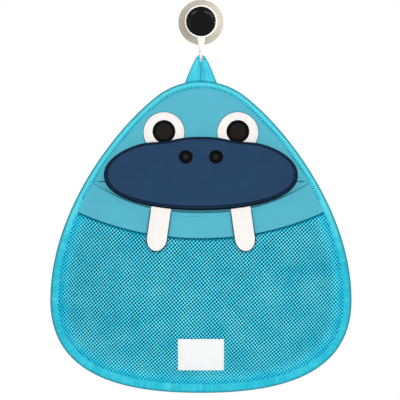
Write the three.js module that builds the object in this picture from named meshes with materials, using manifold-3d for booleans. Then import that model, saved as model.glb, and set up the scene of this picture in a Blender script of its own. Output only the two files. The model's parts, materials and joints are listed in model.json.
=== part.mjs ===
// Bath toy organizer: a soft bag shaped like a walrus head, hung by a strap loop from a suction cup hook.
// It is sewn flat: a back panel, a face panel with the mouth's hem, a pocket band and a net, all held in an
// edge binding. The snout is a flap over the mouth, and two tusks hang from its lower edge.
// Millimetres. Every piece is laid out as on the sewing table (x right, y up, z out from the wall), and the
// whole group is then stood up, so that +Z is up and -Y points into the room. The origin is the middle of
// the suction cup's flat face, on the wall.

import * as THREE from "three";
import { mergeVertices } from "three/addons/utils/BufferGeometryUtils.js";
import Module from "manifold-3d";

const wasm = await Module();
wasm.setup();

// Clearance left between pieces that touch
const GAP = 0.3;

// Suction cup
const CUP_RADIUS = 30;
const CUP_LIP = 1.2;
const CUP_HEIGHT = 8;
const SHOULDER_RADIUS = 11;
const STEM_RADIUS = 6.5;
const STEM_LENGTH = 6;

// Hook: a round dish that turns on the cup's stem, with an arm, a trough and a tip
const DISH_RADIUS = 21.5;
const DISH_RIM = 1.8;
const DISH_FLOOR = 2.5;
const DISH_DEPTH = 5.2;
const ARM_WIDTH = 10;
const ARM_THICKNESS = 3.2;
const BAR_RADIUS = 2;
const THROAT = 12;
const TROUGH_FLAT = 3;
const HOOK_DROP = 50.5;
const TIP_HEIGHT = 10;

// Push-on cap that keeps the dish on the stem
const CAP_EDGE = 2;
const CAP_SKIN = 2;

// Hanging loop: one strap, flat at the seam and gathered where it lies in the hook
const LOOP_DROP = 27.9;
const LOOP_WIDTH = 44.6;
const STRAP_THICKNESS = 2.2;
const STRAP_GATHER = 4.2;
const STRAP_SPREAD = 1;
const STRAP_BUNCH = 6.4;

// Bag outline, measured along its edge from the top of the crown
const BAG_WIDTH = 400;
const BAG_HEIGHT = 414;
const CROWN_RADIUS = 95;
const CROWN_ANGLE = 37;
const FLANK_HANDLE = 66;
const SIDE_HANDLE = 120;
const WIDEST_DROP = 291;
const CORNER_RISE = 13;
const BASE_HANDLE = 84;
const BAG_TILT = 60;

// Sheets and the binding that holds their edges
const PANEL = 2;
const NET = 1.2;
const BINDING_WIDTH = 11.5;
const BINDING_TAPE = 1;
const EDGE_FOLD = 2;
const WALL_CLEARANCE = 1.7;

// Mouth, pocket band and the pocket's belly
const HEM_DROP = 133;
const MOUTH_DEPTH = 42;
const MOUTH_CORNER = 1.4;
const SMILE_POWER = 2.3;
const BAND_WIDTH = 33.7;
const BAND_ARC = 443;
const MOUTH_BULGE = 18;
const BELLY = 40;
const BELLY_RUN = 120;
const BELLY_DROP = 110;
const SEAM_FLAT = 1;

// Net: a diagonal lattice of diamond gaps
const NET_PITCH_X = 19.2;
const NET_PITCH_Y = 20.8;
const NET_STRAND = 3.4;
const NET_HEM = 3;

// Blank label, sewn low on the net
const LABEL_WIDTH = 60;
const LABEL_HEIGHT = 42.4;
const LABEL_RISE = 31.5;
const LABEL_THICKNESS = 0.8;

// Sewn grooves near the edges of the snout and of the round patches
const STITCH_INSET = 3.2;
const STITCH_DEPTH = 0.6;
const STITCH_HALF = 0.8;
const PATCH_STITCH = 2.4;

// Eyes
const EYE_DROP = 68.5;
const EYE_SPACING = 98;
const EYE_RADIUS = 27.1;
const PUPIL_RADIUS = 15.1;
const PUPIL_LIFT = 1.4;
const EYE_THICKNESS = 0.8;
const PUPIL_RISE = 1.4;

// Snout: a superellipse pad on a backing that shows as a dark rim
const SNOUT_DROP = 74.6;
const SNOUT_WIDTH = 257.6;
const SNOUT_UPPER = 50.4;
const SNOUT_LOWER = 48.4;
const SNOUT_POWER = 2.15;
const BROW_DIP = 1.6;
const BROW_SPACING = 96;
const BROW_SPREAD = 22;
const BROW_SEAM = 3;
const BROW_MARGIN = 4;
const BACKING = 1.5;
const BACKING_RIM = 2.2;
const PAD_EDGE = 2;
const PAD_CROWN = 1.2;
const PAD_SLOPE = 10;

// Nostrils
const NOSTRIL_RADIUS = 9.2;
const NOSTRIL_SPACING = 39.8;
const NOSTRIL_DROP = 28.2;
const NOSTRIL_THICKNESS = 1;

// Tusks
const TUSK_WIDTH = 26.5;
const TUSK_LENGTH = 57.3;
const TUSK_SPACING = 105;
const TUSK_SPLAY = 7.5;
const TUSK_THICKNESS = 1.5;
const TUSK_TAB = 8;

// Facets
const OUTLINE_STEPS = 46;
const ROUND_STEPS = 40;
const PATCH_STEPS = 32;
const SNOUT_STEPS = 72;
const NET_EDGE_STEPS = 26;
const BAND_STEPS = 26;

const COLOURS = {
  teal: 0x5bbace,
  cyan: 0x48ceea,
  net: 0x3cb4d0,
  navy: 0x294462,
  black: 0x232321,
  white: 0xf9f6f3,
  label: 0xf6f8f9,
  cup: 0xd9d4c6,
  hook: 0xf6f3ea,
};

const radians = THREE.MathUtils.degToRad;
const lerp = THREE.MathUtils.lerp;

// Places that follow from the sizes, out from the wall
const stemEnd = CUP_HEIGHT + STEM_LENGTH;
const dishBack = CUP_HEIGHT + GAP;
const armDepth = dishBack + DISH_DEPTH / 2;
const barSpan = THROAT + 2 * BAR_RADIUS;
const barDepth = armDepth + barSpan / 2;
const backOfBack = WALL_CLEARANCE + BINDING_TAPE + GAP;
const frontOfBack = backOfBack + PANEL;
const backOfFront = frontOfBack + GAP;
const frontOfFront = backOfFront + PANEL;
const bindingFront = frontOfFront + GAP + BINDING_TAPE;
const bagMiddle = (WALL_CLEARANCE + bindingFront) / 2;
const eyeBack = frontOfFront + GAP;
const pupilBack = eyeBack + EYE_THICKNESS + GAP;
const snoutHinge = frontOfFront + GAP;
const snoutStand = pupilBack + PUPIL_RISE + GAP - snoutHinge;

// Places that follow from the sizes, up the wall
const barHeight = -HOOK_DROP;
const bagTop = barHeight - LOOP_DROP;
const bagBottom = bagTop - BAG_HEIGHT;
const widestHeight = bagTop - WIDEST_DROP;
const hemHeight = bagTop - HEM_DROP;
const mouthCorner = hemHeight - MOUTH_CORNER;
const mouthLow = mouthCorner - MOUTH_DEPTH;
const bandLow = mouthLow - BAND_WIDTH;
const snoutTop = bagTop - SNOUT_DROP;
const panelInset = EDGE_FOLD + GAP;
const flatInset = BINDING_WIDTH + SEAM_FLAT;

// Geometry helpers

// Only positions, shared vertices merged, no collapsed triangles, faces pointing out.
function tidy(geometry) {
  const bare = new THREE.BufferGeometry();
  bare.setAttribute("position", geometry.getAttribute("position"));
  if (geometry.index) bare.setIndex(geometry.index);
  const merged = mergeVertices(bare, 1e-3);
  const at = (i) => new THREE.Vector3().fromBufferAttribute(merged.attributes.position, i);
  const kept = [];
  let volume = 0;
  for (let i = 0; i < merged.index.count; i += 3) {
    const [a, b, c] = [0, 1, 2].map((k) => merged.index.getX(i + k));
    if (a === b || b === c || c === a) continue;
    kept.push([a, b, c]);
    volume += at(a).dot(at(b).cross(at(c)));
  }
  merged.setIndex(kept.flatMap(([a, b, c]) => (volume < 0 ? [a, c, b] : [a, b, c])));
  return merged;
}

function solidOf(geometry) {
  const { attributes, index } = tidy(geometry);
  const vertProperties = new Float32Array(attributes.position.array);
  const triVerts = new Uint32Array(index.array);
  return new wasm.Manifold(new wasm.Mesh({ numProp: 3, vertProperties, triVerts }));
}

function geometryOf(solid) {
  const { vertProperties, triVerts } = solid.getMesh();
  const geometry = new THREE.BufferGeometry();
  geometry.setAttribute("position", new THREE.BufferAttribute(vertProperties, 3));
  geometry.setIndex(new THREE.BufferAttribute(triVerts, 1));
  return geometry;
}

function indexed(points, index) {
  const geometry = new THREE.BufferGeometry().setFromPoints(points);
  geometry.setIndex(index);
  return geometry;
}

// Skin through rings of points: closed on itself, or with each end closed by a fan.
function loft(rings, closed = false) {
  const sides = rings[0].length;
  const points = rings.flat();
  const index = [];
  const spans = closed ? rings.length : rings.length - 1;
  for (let i = 0; i < spans; i++) {
    const here = i * sides;
    const next = ((i + 1) % rings.length) * sides;
    for (let j = 0; j < sides; j++) {
      const k = (j + 1) % sides;
      index.push(here + j, here + k, next + k, here + j, next + k, next + j);
    }
  }
  if (!closed) {
    for (const [ring, start] of [[rings[0], 0], [rings.at(-1), (rings.length - 1) * sides]]) {
      const middle = ring.reduce((sum, p) => sum.add(p), new THREE.Vector3()).divideScalar(sides);
      points.push(middle);
      for (let j = 0; j < sides; j++) {
        const edge = [start + ((j + 1) % sides), start + j];
        index.push(...(start === 0 ? edge : edge.reverse()), points.length - 1);
      }
    }
  }
  return indexed(points, index);
}

// A sheet of one thickness over flat triangles, with a wall round every free edge. backAt lifts its back.
function sheet(points, triangles, backAt, thickness) {
  const count = points.length;
  const lifted = [thickness, 0].flatMap((lift) =>
    points.map((p) => new THREE.Vector3(p.x, p.y, backAt(p.x, p.y) + lift)),
  );
  const index = [];
  const free = new Map();
  for (const [a, b, c] of triangles) {
    index.push(a, b, c, count + c, count + b, count + a);
    for (const [p, q] of [[a, b], [b, c], [c, a]]) {
      if (!free.delete(`${q} ${p}`)) free.set(`${p} ${q}`, [p, q]);
    }
  }
  for (const [p, q] of free.values()) {
    index.push(count + p, count + q, q, count + p, q, p);
  }
  return indexed(lifted, index);
}

// Triangles over a grid of columns, whose rows run upwards and whose columns run to the right.
function gridTriangles(columns, rows) {
  const triangles = [];
  for (let i = 0; i + 1 < columns; i++) {
    for (let j = 0; j + 1 < rows; j++) {
      const a = i * rows + j;
      const b = a + rows;
      triangles.push([a, b, b + 1], [a, b + 1, a + 1]);
    }
  }
  return triangles;
}

function revolve(profile, steps) {
  const geometry = new THREE.LatheGeometry(profile.map(([r, h]) => new THREE.Vector2(r, h)), steps);
  return geometry.rotateX(Math.PI / 2);
}

// Bag outline

// Right half of the outline from the crown to the middle of the base.
function halfOutline() {
  const path = new THREE.Path();
  const turn = radians(CROWN_ANGLE);
  const half = BAG_WIDTH / 2;
  path.absarc(0, bagTop - CROWN_RADIUS, CROWN_RADIUS, Math.PI / 2, Math.PI / 2 - turn, true);
  const { x, y } = path.currentPoint;
  path.bezierCurveTo(
    x + FLANK_HANDLE * Math.cos(turn), y - FLANK_HANDLE * Math.sin(turn),
    half, widestHeight + SIDE_HANDLE,
    half, widestHeight,
  );
  path.bezierCurveTo(half, bagBottom + CORNER_RISE, BASE_HANDLE, bagBottom, 0, bagBottom);
  return path;
}

const outline = halfOutline();
const fineOutline = outline.getSpacedPoints(6 * OUTLINE_STEPS);

// The half outline moved inwards along its own normals.
function insetHalf(inset) {
  return Array.from({ length: OUTLINE_STEPS + 1 }, (_, i) => {
    const along = outline.getTangentAt(i / OUTLINE_STEPS);
    const inward = new THREE.Vector2(along.y, -along.x);
    const point = outline.getPointAt(i / OUTLINE_STEPS).addScaledVector(inward, inset);
    if (i === 0 || i === OUTLINE_STEPS) point.x = 0;
    return point;
  });
}

// A half curve from the middle of the top to the middle of the bottom, made a whole loop to the left.
function mirrored(half) {
  const left = half.slice(1, -1).reverse();
  return [...half, ...left.map((p) => new THREE.Vector2(-p.x, p.y))].reverse();
}

// How far a point inside the outline lies from it.
function edgeDistance(x, y) {
  const point = new THREE.Vector2(Math.abs(x), y);
  let least = Infinity;
  for (let i = 0; i + 1 < fineOutline.length; i++) {
    const a = fineOutline[i];
    const along = fineOutline[i + 1].clone().sub(a);
    const share = point.clone().sub(a).dot(along) / along.lengthSq();
    const foot = a.clone().addScaledVector(along, THREE.MathUtils.clamp(share, 0, 1));
    least = Math.min(least, foot.distanceTo(point));
  }
  return least;
}

// The x at which a curve y(x) comes within an inset of the outline, on the right.
function reachOf(curve, inset) {
  let inside = 0;
  let outside = BAG_WIDTH / 2;
  for (let i = 0; i < 40; i++) {
    const x = (inside + outside) / 2;
    const within = insideOutline(x, curve(x)) && edgeDistance(x, curve(x)) > inset;
    if (within) inside = x;
    else outside = x;
  }
  return inside;
}

function insideOutline(x, y) {
  const next = fineOutline.findIndex((p) => p.y <= y);
  if (next < 1) return false;
  const [a, b] = [fineOutline[next - 1], fineOutline[next]];
  return Math.abs(x) < lerp(a.x, b.x, (y - a.y) / (b.y - a.y));
}

// Mouth and pocket surfaces

const mouthHalf = reachOf(() => mouthCorner, panelInset);

// Upper edge of the pocket band: a smile whose corners meet the face panel's hem.
function mouthEdge(x) {
  return mouthLow + MOUTH_DEPTH * (Math.abs(x) / mouthHalf) ** SMILE_POWER;
}

// Lower edge of the pocket band, where the net is sewn on: a plain arc.
function bandEdge(x) {
  return bandLow + BAND_ARC - Math.sqrt(BAND_ARC ** 2 - x ** 2);
}

// How far the pocket's front stands out from the flat at a point: nothing at its seams, most in its belly.
function pocketRise(x, y) {
  const inward = edgeDistance(x, y) - flatInset;
  if (inward <= 0) return 0;
  const across = Math.sin((Math.PI / 2) * Math.min(1, inward / BELLY_RUN));
  const down = THREE.MathUtils.smoothstep(mouthEdge(x) - y, 0, BELLY_DROP);
  return across * lerp(MOUTH_BULGE, BELLY, down);
}

const bandFront = (x, y) => frontOfFront + pocketRise(x, y);

// Suction cup, hook and cap

function suctionCup() {
  const bell = new THREE.QuadraticBezierCurve(
    new THREE.Vector2(CUP_RADIUS, CUP_LIP),
    new THREE.Vector2(lerp(SHOULDER_RADIUS, CUP_RADIUS, 0.3), lerp(CUP_LIP, CUP_HEIGHT, 0.25)),
    new THREE.Vector2(SHOULDER_RADIUS, CUP_HEIGHT),
  );
  const side = bell.getPoints(8).map((p) => [p.x, p.y]);
  return revolve(
    [[0, 0], [CUP_RADIUS, 0], ...side, [STEM_RADIUS, CUP_HEIGHT], [STEM_RADIUS, stemEnd], [0, stemEnd]],
    ROUND_STEPS,
  );
}

function hookCap() {
  const radius = DISH_RADIUS - DISH_RIM - GAP;
  const socket = STEM_RADIUS + GAP;
  const back = dishBack + DISH_FLOOR + GAP;
  const edge = back + CAP_EDGE;
  const socketEnd = stemEnd + GAP;
  const top = socketEnd + CAP_SKIN;
  const dome = Array.from({ length: 7 }, (_, i) => {
    const share = 1 - i / 6;
    return [radius * share, edge + (top - edge) * (1 - share ** 2)];
  });
  return revolve([[0, socketEnd], [socket, socketEnd], [socket, back], [radius, back], ...dome], ROUND_STEPS);
}

function hookDish() {
  const bore = STEM_RADIUS + GAP;
  const floor = dishBack + DISH_FLOOR;
  const front = dishBack + DISH_DEPTH;
  const inner = DISH_RADIUS - DISH_RIM;
  const round = DISH_RIM / 2;
  const profile = [
    [bore, dishBack], [DISH_RADIUS - round, dishBack], [DISH_RADIUS, dishBack + round],
    [DISH_RADIUS, front - round], [DISH_RADIUS - round, front], [inner, front],
    [inner, floor], [bore, floor], [bore, dishBack],
  ];
  return revolve(profile, ROUND_STEPS);
}

// Centre line of the arm, trough and tip: [height, depth, direction of travel, share of the way to the bar].
function hookLine() {
  const bend = (barSpan - TROUGH_FLAT) / 2;
  const start = -(DISH_RADIUS - DISH_RIM / 2);
  const bendTop = barHeight + bend;
  const line = [0, 0.35, 0.7, 1].map((s) => [lerp(start, bendTop, s), armDepth, 0, s]);
  for (let i = 1; i <= 6; i++) {
    const turn = (Math.PI / 2) * (i / 6);
    line.push([bendTop - bend * Math.sin(turn), armDepth + bend * (1 - Math.cos(turn)), turn, 1]);
  }
  for (let i = 0; i <= 6; i++) {
    const turn = (Math.PI / 2) * (i / 6);
    const out = armDepth + bend + TROUGH_FLAT + bend * Math.sin(turn);
    line.push([bendTop - bend * Math.cos(turn), out, Math.PI / 2 + turn, 1]);
  }
  line.push([barHeight + TIP_HEIGHT - BAR_RADIUS, armDepth + barSpan, Math.PI, 1]);
  return line;
}

function hook() {
  const sides = 12;
  const oval = ([height, depth, turn, share], shrink = 1, shift = 0) => {
    const wide = lerp(ARM_WIDTH / 2, BAR_RADIUS, share) * shrink;
    const thick = lerp(ARM_THICKNESS / 2, BAR_RADIUS, share) * shrink;
    return Array.from({ length: sides }, (_, j) => {
      const a = (2 * Math.PI * j) / sides;
      const off = thick * Math.sin(a);
      return new THREE.Vector3(
        wide * Math.cos(a), height + shift + off * Math.sin(turn), depth + off * Math.cos(turn),
      );
    });
  };
  const line = hookLine();
  const rounded = [30, 60].map((angle) => {
    const a = radians(angle);
    return oval(line.at(-1), Math.cos(a), BAR_RADIUS * Math.sin(a));
  });
  const arm = loft([...line.map((place) => oval(place)), ...rounded]);
  return geometryOf(solidOf(hookDish()).add(solidOf(arm)));
}

// Hanging loop

// How far the crown has dropped below the top of the bag at x.
const crownDrop = (x) => CROWN_RADIUS - Math.sqrt(CROWN_RADIUS ** 2 - x ** 2);

// The strap's base follows the crown, clear of it through the whole tilt of the bag.
const loopBase = (x) => bagTop + GAP - crownDrop(x) * Math.cos(radians(BAG_TILT));

function hangLoop() {
  const eye = BAR_RADIUS + GAP;
  const closing = 1.6 * BAR_RADIUS;
  const section = (place, side, deep) =>
    Array.from({ length: 12 }, (_, j) => {
      const a = (2 * Math.PI * j) / 12;
      const power = 0.6;
      const u = Math.sign(Math.cos(a)) * Math.abs(Math.cos(a)) ** power;
      const v = Math.sign(Math.sin(a)) * Math.abs(Math.sin(a)) ** power;
      const p = place(u);
      return new THREE.Vector3(side * p.x, p.y, p.z + (deep / 2) * v);
    });
  const legTop = eye + STRAP_GATHER + STRAP_SPREAD;
  const leg = (side) =>
    [0, 0.12, 0.3, 0.5, 0.7, 0.86, 1].map((share) => {
      const fall = share * LOOP_DROP;
      const inner = fall < closing ? lerp(eye, GAP, (fall / closing) ** 2) : GAP;
      const outer = lerp(legTop, LOOP_WIDTH / 2, share);
      const place = (u) => {
        const x = lerp(inner, outer, (u + 1) / 2);
        const y = lerp(barHeight, loopBase(x), share);
        return { x, y, z: lerp(barDepth, bagMiddle, share) };
      };
      return section(place, side, lerp(STRAP_BUNCH, STRAP_THICKNESS, Math.sqrt(share)));
    });
  const arch = Array.from({ length: 9 }, (_, i) => {
    const turn = Math.PI * ((i + 1) / 10);
    const reach = STRAP_GATHER + STRAP_SPREAD * Math.abs(Math.cos(turn));
    const place = (u) => {
      const r = eye + (reach * (u + 1)) / 2;
      return { x: -r * Math.cos(turn), y: barHeight + r * Math.sin(turn), z: barDepth };
    };
    return section(place, 1, STRAP_BUNCH);
  });
  return loft([...leg(-1).reverse(), ...arch, ...leg(1)]);
}

// Flat panels

function flatPanel(points, back) {
  const geometry = new THREE.ExtrudeGeometry(new THREE.Shape(points), { depth: PANEL, bevelEnabled: false });
  return geometry.translate(0, 0, back);
}

function facePanel() {
  const half = insetHalf(panelInset);
  const below = half.findIndex((p) => p.y < hemHeight);
  const [a, b] = [half[below - 1], half[below]];
  const corner = a.clone().lerp(b, (a.y - hemHeight) / (a.y - b.y));
  const right = [...half.slice(0, below), corner];
  const left = right.slice(1).reverse().map((p) => new THREE.Vector2(-p.x, p.y));
  return flatPanel([...right, ...left].reverse(), backOfFront);
}

// Binding: a folded tape, as a channel whose section is [inset, depth].
function edgeBinding() {
  const soft = EDGE_FOLD * 1.6;
  const ease = EDGE_FOLD * 0.45;
  const back = WALL_CLEARANCE;
  const front = bindingFront;
  const lift = (front - back) * 0.16;
  const section = [
    [BINDING_WIDTH, back], [soft, back], [ease, back + lift], [0, bagMiddle],
    [ease, front - lift], [soft, front], [BINDING_WIDTH, front], [BINDING_WIDTH, front - BINDING_TAPE],
    [EDGE_FOLD, front - BINDING_TAPE], [EDGE_FOLD, back + BINDING_TAPE], [BINDING_WIDTH, back + BINDING_TAPE],
  ];
  const loops = section.map(([inset, depth]) =>
    mirrored(insetHalf(inset)).map((p) => new THREE.Vector3(p.x, p.y, depth)),
  );
  const rings = loops[0].map((_, i) => loops.map((loop) => loop[i]));
  return loft(rings, true);
}

// Pocket

// Columns across the pocket on one curve: flat under the binding, then even steps over the belly.
function columnsOn(curve) {
  const edge = reachOf(curve, panelInset);
  const flat = reachOf(curve, flatInset);
  const inner = Array.from({ length: BAND_STEPS + 1 }, (_, i) => lerp(-flat, flat, i / BAND_STEPS));
  return [-edge, ...inner, edge].map((x) => new THREE.Vector2(x, curve(x)));
}

function pocketBand() {
  const rows = [0, 0.33, 0.67, 1].map((up) => columnsOn((x) => lerp(bandEdge(x), mouthEdge(x), up)));
  const columns = rows[0].map((_, i) => rows.map((row) => row[i]));
  const backAt = (x, y) => backOfFront + pocketRise(x, y);
  return sheet(columns.flat(), gridTriangles(columns.length, rows.length), backAt, PANEL);
}

const netTop = (x) => bandEdge(x) - GAP;

// The net's edge at an inset, from its upper right corner round the base to its upper left corner.
function netEdge(inset) {
  const corner = reachOf(netTop, inset);
  const below = insetHalf(inset).filter((p) => p.y < netTop(corner) - SEAM_FLAT);
  const half = new THREE.SplineCurve([new THREE.Vector2(corner, netTop(corner)), ...below]);
  const right = half.getSpacedPoints(NET_EDGE_STEPS);
  const left = right.slice(0, -1).reverse();
  return [...right, ...left.map((p) => new THREE.Vector2(-p.x, p.y))];
}

// Diamond gaps of the diagonal lattice that lie clear of the net's hems.
function netGaps() {
  const wide = NET_PITCH_X / 2 - NET_STRAND / Math.SQRT2;
  const tall = NET_PITCH_Y / 2 - NET_STRAND / Math.SQRT2;
  const clear = ([x, y]) =>
    insideOutline(x, y) && edgeDistance(x, y) > flatInset + NET_HEM && y < netTop(x) - NET_HEM;
  const gaps = [];
  const rows = Math.ceil((2 * BAG_HEIGHT) / NET_PITCH_Y);
  const across = Math.ceil(BAG_WIDTH / NET_PITCH_X);
  for (let j = 0; j < rows; j++) {
    const y = bandLow - (j * NET_PITCH_Y) / 2;
    for (let i = -across; i <= across; i++) {
      const x = (i + (j % 2) / 2) * NET_PITCH_X;
      const corners = [[x, y - tall], [x - wide, y], [x, y + tall], [x + wide, y]];
      if (corners.every(clear)) gaps.push(corners.map(([u, v]) => new THREE.Vector2(u, v)));
    }
  }
  return gaps;
}

function pocketNet() {
  const outer = netEdge(panelInset);
  const inner = netEdge(flatInset);
  const count = outer.length;
  const points = [...outer, ...inner];
  const triangles = [];
  for (let i = 0; i + 1 < count; i++) {
    triangles.push([i + 1, i, count + i], [i + 1, count + i, count + i + 1]);
  }
  const [right, left] = [inner[0].x, inner.at(-1).x];
  const top = Array.from({ length: BAND_STEPS - 1 }, (_, i) => {
    const x = lerp(left, right, (i + 1) / BAND_STEPS);
    return new THREE.Vector2(x, netTop(x));
  });
  const gaps = netGaps();
  const field = [...inner, ...top].reverse();
  const numbers = [...inner.map((_, i) => count + i), ...top.map((_, i) => 2 * count + i)].reverse();
  points.push(...top);
  for (const gap of gaps) {
    numbers.push(...gap.map((_, i) => points.length + i));
    points.push(...gap);
  }
  for (const corners of THREE.ShapeUtils.triangulateShape(field, gaps)) {
    const [a, b, c] = corners.map((i) => numbers[i]);
    const turn = points[b].clone().sub(points[a]).cross(points[c].clone().sub(points[a]));
    triangles.push(turn > 0 ? [a, b, c] : [a, c, b]);
  }
  return sheet(points, triangles, (x, y) => backOfFront + pocketRise(x, y), NET);
}

function label() {
  const [columns, rows] = [7, 6];
  const low = bagBottom + LABEL_RISE;
  const points = [];
  for (let i = 0; i < columns; i++) {
    for (let j = 0; j < rows; j++) {
      const x = LABEL_WIDTH * (i / (columns - 1) - 0.5);
      points.push(new THREE.Vector2(x, low + (LABEL_HEIGHT * j) / (rows - 1)));
    }
  }
  const backAt = (x, y) => backOfFront + NET + GAP + pocketRise(x, y);
  return sheet(points, gridTriangles(columns, rows), backAt, LABEL_THICKNESS);
}

// Round patches

// A stitched disc: a thin edge, a sewn groove, and a middle that swells by the given rise.
function roundPatch(radius, edge, rise) {
  const groove = radius - PATCH_STITCH;
  const round = edge * 0.4;
  return revolve(
    [
      [0, 0], [radius, 0], [radius, edge - round], [radius - round, edge],
      [groove + STITCH_HALF, edge], [groove, edge - round], [groove - STITCH_HALF, edge],
      [radius - 2 * PATCH_STITCH, rise], [0, rise],
    ],
    PATCH_STEPS,
  );
}

// Snout

// A point of the snout's outline, about the hinge at its top, drawn in by an inset.
function snoutPoint(angle, inset) {
  const wide = SNOUT_WIDTH / 2 - inset;
  const tall = (Math.sin(angle) > 0 ? SNOUT_UPPER : SNOUT_LOWER) - inset;
  const round = (value) => Math.sign(value) * Math.abs(value) ** (2 / SNOUT_POWER);
  const x = wide * round(Math.cos(angle));
  const fromBrow = (Math.abs(x) - BROW_SPACING / 2) / BROW_SPREAD;
  const dip = Math.max(0, Math.sin(angle)) * BROW_DIP * Math.exp(-(fromBrow ** 2));
  return new THREE.Vector2(x, tall * round(Math.sin(angle)) - dip - SNOUT_UPPER);
}

// The outline at a height in front of the snout's back, which stands clear of the pupils.
function snoutRing(inset, height) {
  return Array.from({ length: SNOUT_STEPS }, (_, i) => {
    const p = snoutPoint((2 * Math.PI * (i + 0.5)) / SNOUT_STEPS, inset);
    return new THREE.Vector3(p.x, p.y, snoutStand + height);
  });
}

const padBack = BACKING + GAP;
const padFront = padBack + PAD_EDGE + PAD_CROWN;

// The backing, with the seam between the eyes that joins it to the face panel.
function snoutBacking() {
  const round = BACKING / 3;
  const sheetLayer = loft([
    snoutRing(round, 0), snoutRing(0, round), snoutRing(0, BACKING - round), snoutRing(round, BACKING),
  ]);
  const wide = EYE_SPACING - 2 * (EYE_RADIUS + BROW_MARGIN);
  const deep = snoutStand + BACKING / 2;
  const seam = new THREE.BoxGeometry(wide, BROW_SEAM, deep);
  seam.translate(0, -round - BROW_SEAM / 2, deep / 2);
  return geometryOf(solidOf(sheetLayer).add(solidOf(seam)));
}

function snoutPad() {
  const at = (inset, height) => snoutRing(BACKING_RIM + inset, padBack + height);
  const soft = PAD_EDGE * 0.35;
  return loft([
    at(soft, 0), at(0, soft), at(0, PAD_EDGE - soft), at(soft, PAD_EDGE),
    at(STITCH_INSET - STITCH_HALF, PAD_EDGE), at(STITCH_INSET, PAD_EDGE - STITCH_DEPTH),
    at(STITCH_INSET + STITCH_HALF, PAD_EDGE), at(STITCH_INSET + PAD_SLOPE / 2, PAD_EDGE + PAD_CROWN * 0.7),
    at(STITCH_INSET + PAD_SLOPE, PAD_EDGE + PAD_CROWN),
  ]);
}

// Tusks and the lean of the snout over them

// Distance down the snout from its hinge to the tusks' hinges.
// They lie half a tusk's thickness below the snout's edge at a tusk's inner side, so that it swings clear.
function snoutFall() {
  const innerSide = TUSK_SPACING / 2 - TUSK_WIDTH / 2 / Math.cos(radians(TUSK_SPLAY));
  const share = innerSide / (SNOUT_WIDTH / 2);
  const edge = SNOUT_UPPER + SNOUT_LOWER * (1 - share ** SNOUT_POWER) ** (1 / SNOUT_POWER);
  return edge + TUSK_THICKNESS / 2;
}

// The furthest that the pocket's front stands out under one tusk, at a height.
function frontUnderTusk(y) {
  const middle = TUSK_SPACING / 2;
  return Math.max(...[-0.5, 0, 0.5].map((s) => bandFront(middle + s * TUSK_WIDTH, y)));
}

// The snout leans out until the tusks at its lower edge lie in front of the pocket band.
function tuskPlace() {
  const fall = snoutFall();
  let lean = 0;
  let depth = 0;
  let height = 0;
  for (let i = 0; i < 8; i++) {
    height = snoutTop - fall * Math.cos(lean) + snoutStand * Math.sin(lean);
    depth = frontUnderTusk(height) + GAP + TUSK_THICKNESS / 2;
    const reach = depth + TUSK_THICKNESS / 2 + GAP - snoutHinge - snoutStand * Math.cos(lean);
    lean = Math.asin(reach / fall);
  }
  let tuskLean = lean;
  for (let s = 0.1; s <= 1; s += 0.1) {
    const down = s * TUSK_LENGTH;
    const need = frontUnderTusk(height - down) + GAP + TUSK_THICKNESS / 2 - depth;
    tuskLean = Math.max(tuskLean, Math.asin(need / down));
  }
  return { lean, tuskLean, height, depth };
}

const hang = tuskPlace();

function tusk() {
  const half = TUSK_WIDTH / 2;
  const shape = new THREE.Shape();
  shape.moveTo(-half, TUSK_TAB);
  shape.lineTo(-half, half - TUSK_LENGTH);
  shape.absarc(0, half - TUSK_LENGTH, half, Math.PI, 2 * Math.PI, false);
  shape.lineTo(half, TUSK_TAB);
  const bevel = TUSK_THICKNESS / 4;
  const geometry = new THREE.ExtrudeGeometry(shape, {
    depth: TUSK_THICKNESS - 2 * bevel, curveSegments: 16,
    bevelThickness: bevel, bevelSize: bevel, bevelOffset: -bevel, bevelSegments: 1,
  });
  return geometry.translate(0, 0, bevel - TUSK_THICKNESS / 2);
}

// Assembly

function piece(name, geometry, colour, roughness = 0.9) {
  const material = new THREE.MeshStandardMaterial({ color: COLOURS[colour], roughness, metalness: 0 });
  const mesh = new THREE.Mesh(tidy(geometry), material);
  mesh.name = name;
  return mesh;
}

const organizer = new THREE.Group();
organizer.rotation.x = Math.PI / 2;
organizer.add(
  piece("suction_cup", suctionCup(), "cup", 0.35),
  piece("hook", hook(), "hook", 0.3),
  piece("hook_cap", hookCap(), "black", 0.15),
  piece("hang_loop", hangLoop(), "cyan"),
  piece("back_panel", flatPanel(mirrored(insetHalf(panelInset)), backOfBack), "teal"),
  piece("face_panel", facePanel(), "teal"),
  piece("edge_binding", edgeBinding(), "cyan"),
  piece("pocket_band", pocketBand(), "teal"),
  piece("pocket_net", pocketNet(), "net"),
  piece("label", label(), "label"),
);

const snout = new THREE.Group();
snout.position.set(0, snoutTop, snoutHinge);
snout.rotation.x = -hang.lean;
snout.add(piece("snout_backing", snoutBacking(), "black"), piece("snout", snoutPad(), "navy"));
organizer.add(snout);

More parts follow.
